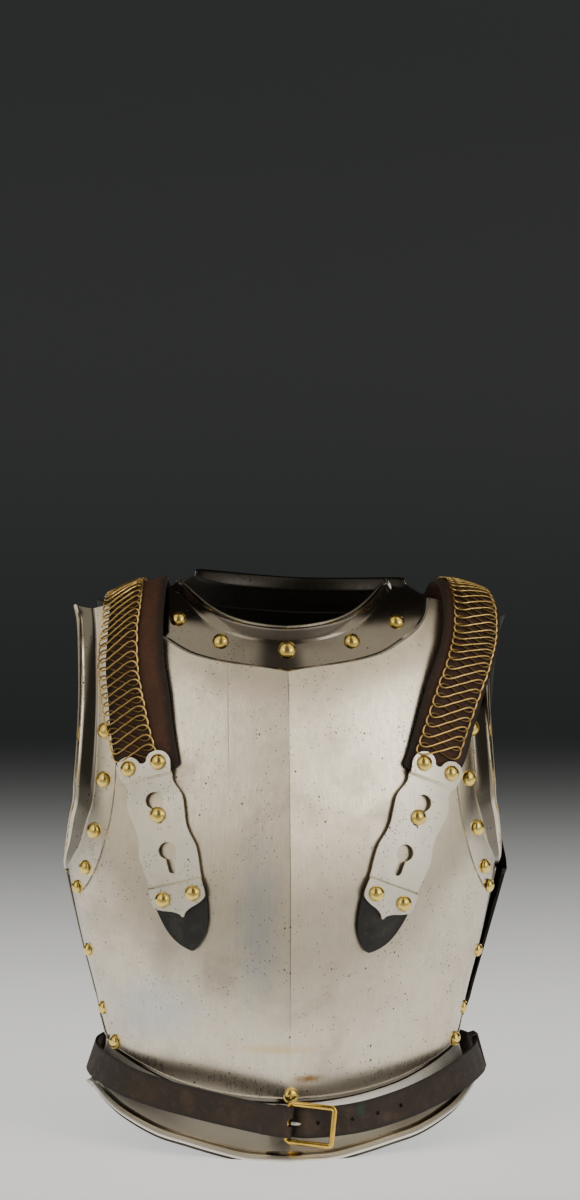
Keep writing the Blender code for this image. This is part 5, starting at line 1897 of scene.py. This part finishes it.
def makeLooks():
    groups = {
        "marks": streakGroup(), "pits": pitGroup(), "clouds": cloudGroup(),
        "contact": contactGroup(), "grain": grainGroup(), "blotch": spotGroup(),
    }
    looks = {name: makeSteel(name, groups) for name in steels}
    looks.update({name: makeBrass(name, groups) for name in brasses})
    looks.update({name: makeLeather(name, groups) for name in leathers})
    return looks


# Stage, light and camera

stage = {
    "halfWidth": 9.0, "near": -9.0, "far": 7.0, "bend": 3.0, "top": 9.0,
    "pale": (0.84, 0.84, 0.835, 1), "paler": (0.88, 0.88, 0.87, 1), "dusk": (0.043, 0.053, 0.064, 1),
    "fadeFrom": 2.28,  # the tone fades as one over the distance from a line this far in front
    "fade": (0.42, 0.11), "glow": 0.66, "glowReach": (-0.6, -0.22),
}


def floorMesh():
    # a floor that bends up into the backdrop
    far, bend, half = stage["far"], stage["bend"], stage["halfWidth"]
    profile = [(stage["near"], 0), (far, 0)]
    for k in range(1, 13):
        turn = math.pi / 2 * k / 12
        profile.append((far + bend * math.sin(turn), bend * (1 - math.cos(turn))))
    profile.append((far + bend, stage["top"]))
    points = [(x, y, z) for y, z in profile for x in (-half, half)]
    faces = [(2 * k, 2 * k + 1, 2 * k + 3, 2 * k + 2) for k in range(len(profile) - 1)]
    mesh = bpy.data.meshes.new("floor")
    mesh.from_pydata(points, [], faces)
    for polygon in mesh.polygons:
        polygon.use_smooth = True
    return mesh


def makeFloor():
    mesh = floorMesh()
    floor = bpy.data.objects.new("floor", mesh)
    bpy.context.scene.collection.objects.link(floor)
    paint, tree, shader, spot = startMaterial("floorPaint")
    tone = rangeNode(tree, noise(tree, spot, 3.0, 4.0), 0.3, 0.7)
    pale = mixColour(tree, tone, stage["pale"], stage["paler"])
    depth = addNode(tree, "ShaderNodeSeparateXYZ", {"Vector": spot}).outputs["Y"]
    distance = plus(tree, mathNode(tree, "MAXIMUM", depth, 0.0), stage["fadeFrom"])
    away = rangeNode(tree, mathNode(tree, "DIVIDE", 1.0, distance), *stage["fade"])
    # painted light and shade: the near floor glows though it is no lamp, and the floor and backdrop darken
    # with distance behind the armour
    putInto(
        tree, shader, Base_Color=mixColour(tree, away, pale, stage["dusk"]),
        Roughness=0.6, Normal=bump(tree, noise(tree, spot, 600.0, 3.0), 0.05 * mm),
        Emission_Color=mixColour(tree, away, (1, 1, 1, 1), (0, 0, 0, 1)),
        Emission_Strength=times(tree, rangeNode(tree, depth, *stage["glowReach"]), stage["glow"]),
    )
    mesh.materials.append(paint)


# The room is bright on the viewer's side but for a gap in the middle, and dark behind and overhead
room = {
    "colour": (1.0, 0.93, 0.79, 1), "bright": 0.79, "dark": 0.02, "rightShare": 1.08,
    "gap": (0.32, 0.54), "gapTone": 0.10, "aim": 0.03, "ends": (1.30, 1.64), "top": (0.965, 0.998),
}


def makeWorld():
    world = bpy.data.worlds.new("studio")
    bpy.context.scene.world = world
    world.use_nodes = True
    tree = world.node_tree
    way = tree.nodes.new("ShaderNodeTexCoord").outputs["Generated"]
    parts = addNode(tree, "ShaderNodeSeparateXYZ", {"Vector": way}).outputs
    turn = mathNode(tree, "ARCTAN2", parts["X"], times(tree, parts["Y"], -1.0))
    aside = mathNode(tree, "ABSOLUTE", plus(tree, turn, room["aim"]))
    boxes = rangeNode(tree, aside, *room["gap"], room["gapTone"], 1.0)
    ends = rangeNode(tree, aside, *room["ends"][::-1])
    above = rangeNode(tree, parts["Z"], *room["top"][::-1])
    sideways = rangeNode(tree, parts["X"], -0.9, 0.9, 1.0, room["rightShare"], False)
    lit = times(tree, times(tree, times(tree, boxes, ends), above), sideways)
    background = tree.nodes["Background"].inputs
    background["Color"].default_value = room["colour"]
    feed(tree, background["Strength"], plus(tree, times(tree, lit, room["bright"]), room["dark"]))


lights = table(
    "name place aim size power",
    [
        ("leftBox", (-1.9, -2.3, 1.5), (0, 0, 0.3), (1.1, 1.7), 5),
        ("rightBox", (2.0, -2.0, 1.2), (0, 0, 0.3), (0.9, 1.5), 10),
        ("rearLeft", (-2.0, 2.0, 1.3), (0, 0, 0.25), (0.7, 1.6), 8),
        ("rearRight", (2.0, 2.1, 1.3), (0, 0, 0.25), (0.7, 1.6), 7),
    ],
)


def makeLights():
    for row in lights:
        data = bpy.data.lights.new(row["name"], "AREA")
        data.shape = "RECTANGLE"
        data.size, data.size_y = row["size"]
        data.energy = row["power"]
        data.color = (1, 0.99, 0.97)
        light = bpy.data.objects.new(row["name"], data)
        light.location = row["place"]
        facing = Vector(row["aim"]) - Vector(row["place"])
        light.rotation_euler = facing.to_track_quat("-Z", "Y").to_euler()
        bpy.context.scene.collection.objects.link(light)


view = {"lens": 81.36, "film": 36, "place": (-0.11787, -2.27581, 0.445), "turn": -3}


def makeCamera():
    data = bpy.data.cameras.new("camera")
    data.lens = view["lens"]
    data.sensor_width = view["film"]
    camera = bpy.data.objects.new("camera", data)
    camera.location = view["place"]
    camera.rotation_euler = (math.radians(90), 0, math.radians(view["turn"]))
    bpy.context.scene.collection.objects.link(camera)
    bpy.context.scene.camera = camera


def main():
    print("shaping the plates")
    buildPlates()
    print("shaping the straps and chains")
    buildStraps()
    buildChains()
    print("shaping the hasps and tabs")
    buildHasps()
    buildTabs()
    print("shaping the belt and buckle")
    buildBelt()
    buildBuckle()
    print("setting the rivets")
    buildChestRivets(treeOf(fine["breastplate"]))
    buildHaspRivets()
    buildBackRivets()
    standOnBase()
    print("finishing the surfaces")
    dressAll(makeLooks())
    print("lighting the scene")
    makeFloor()
    makeWorld()
    makeLights()
    makeCamera()


main()
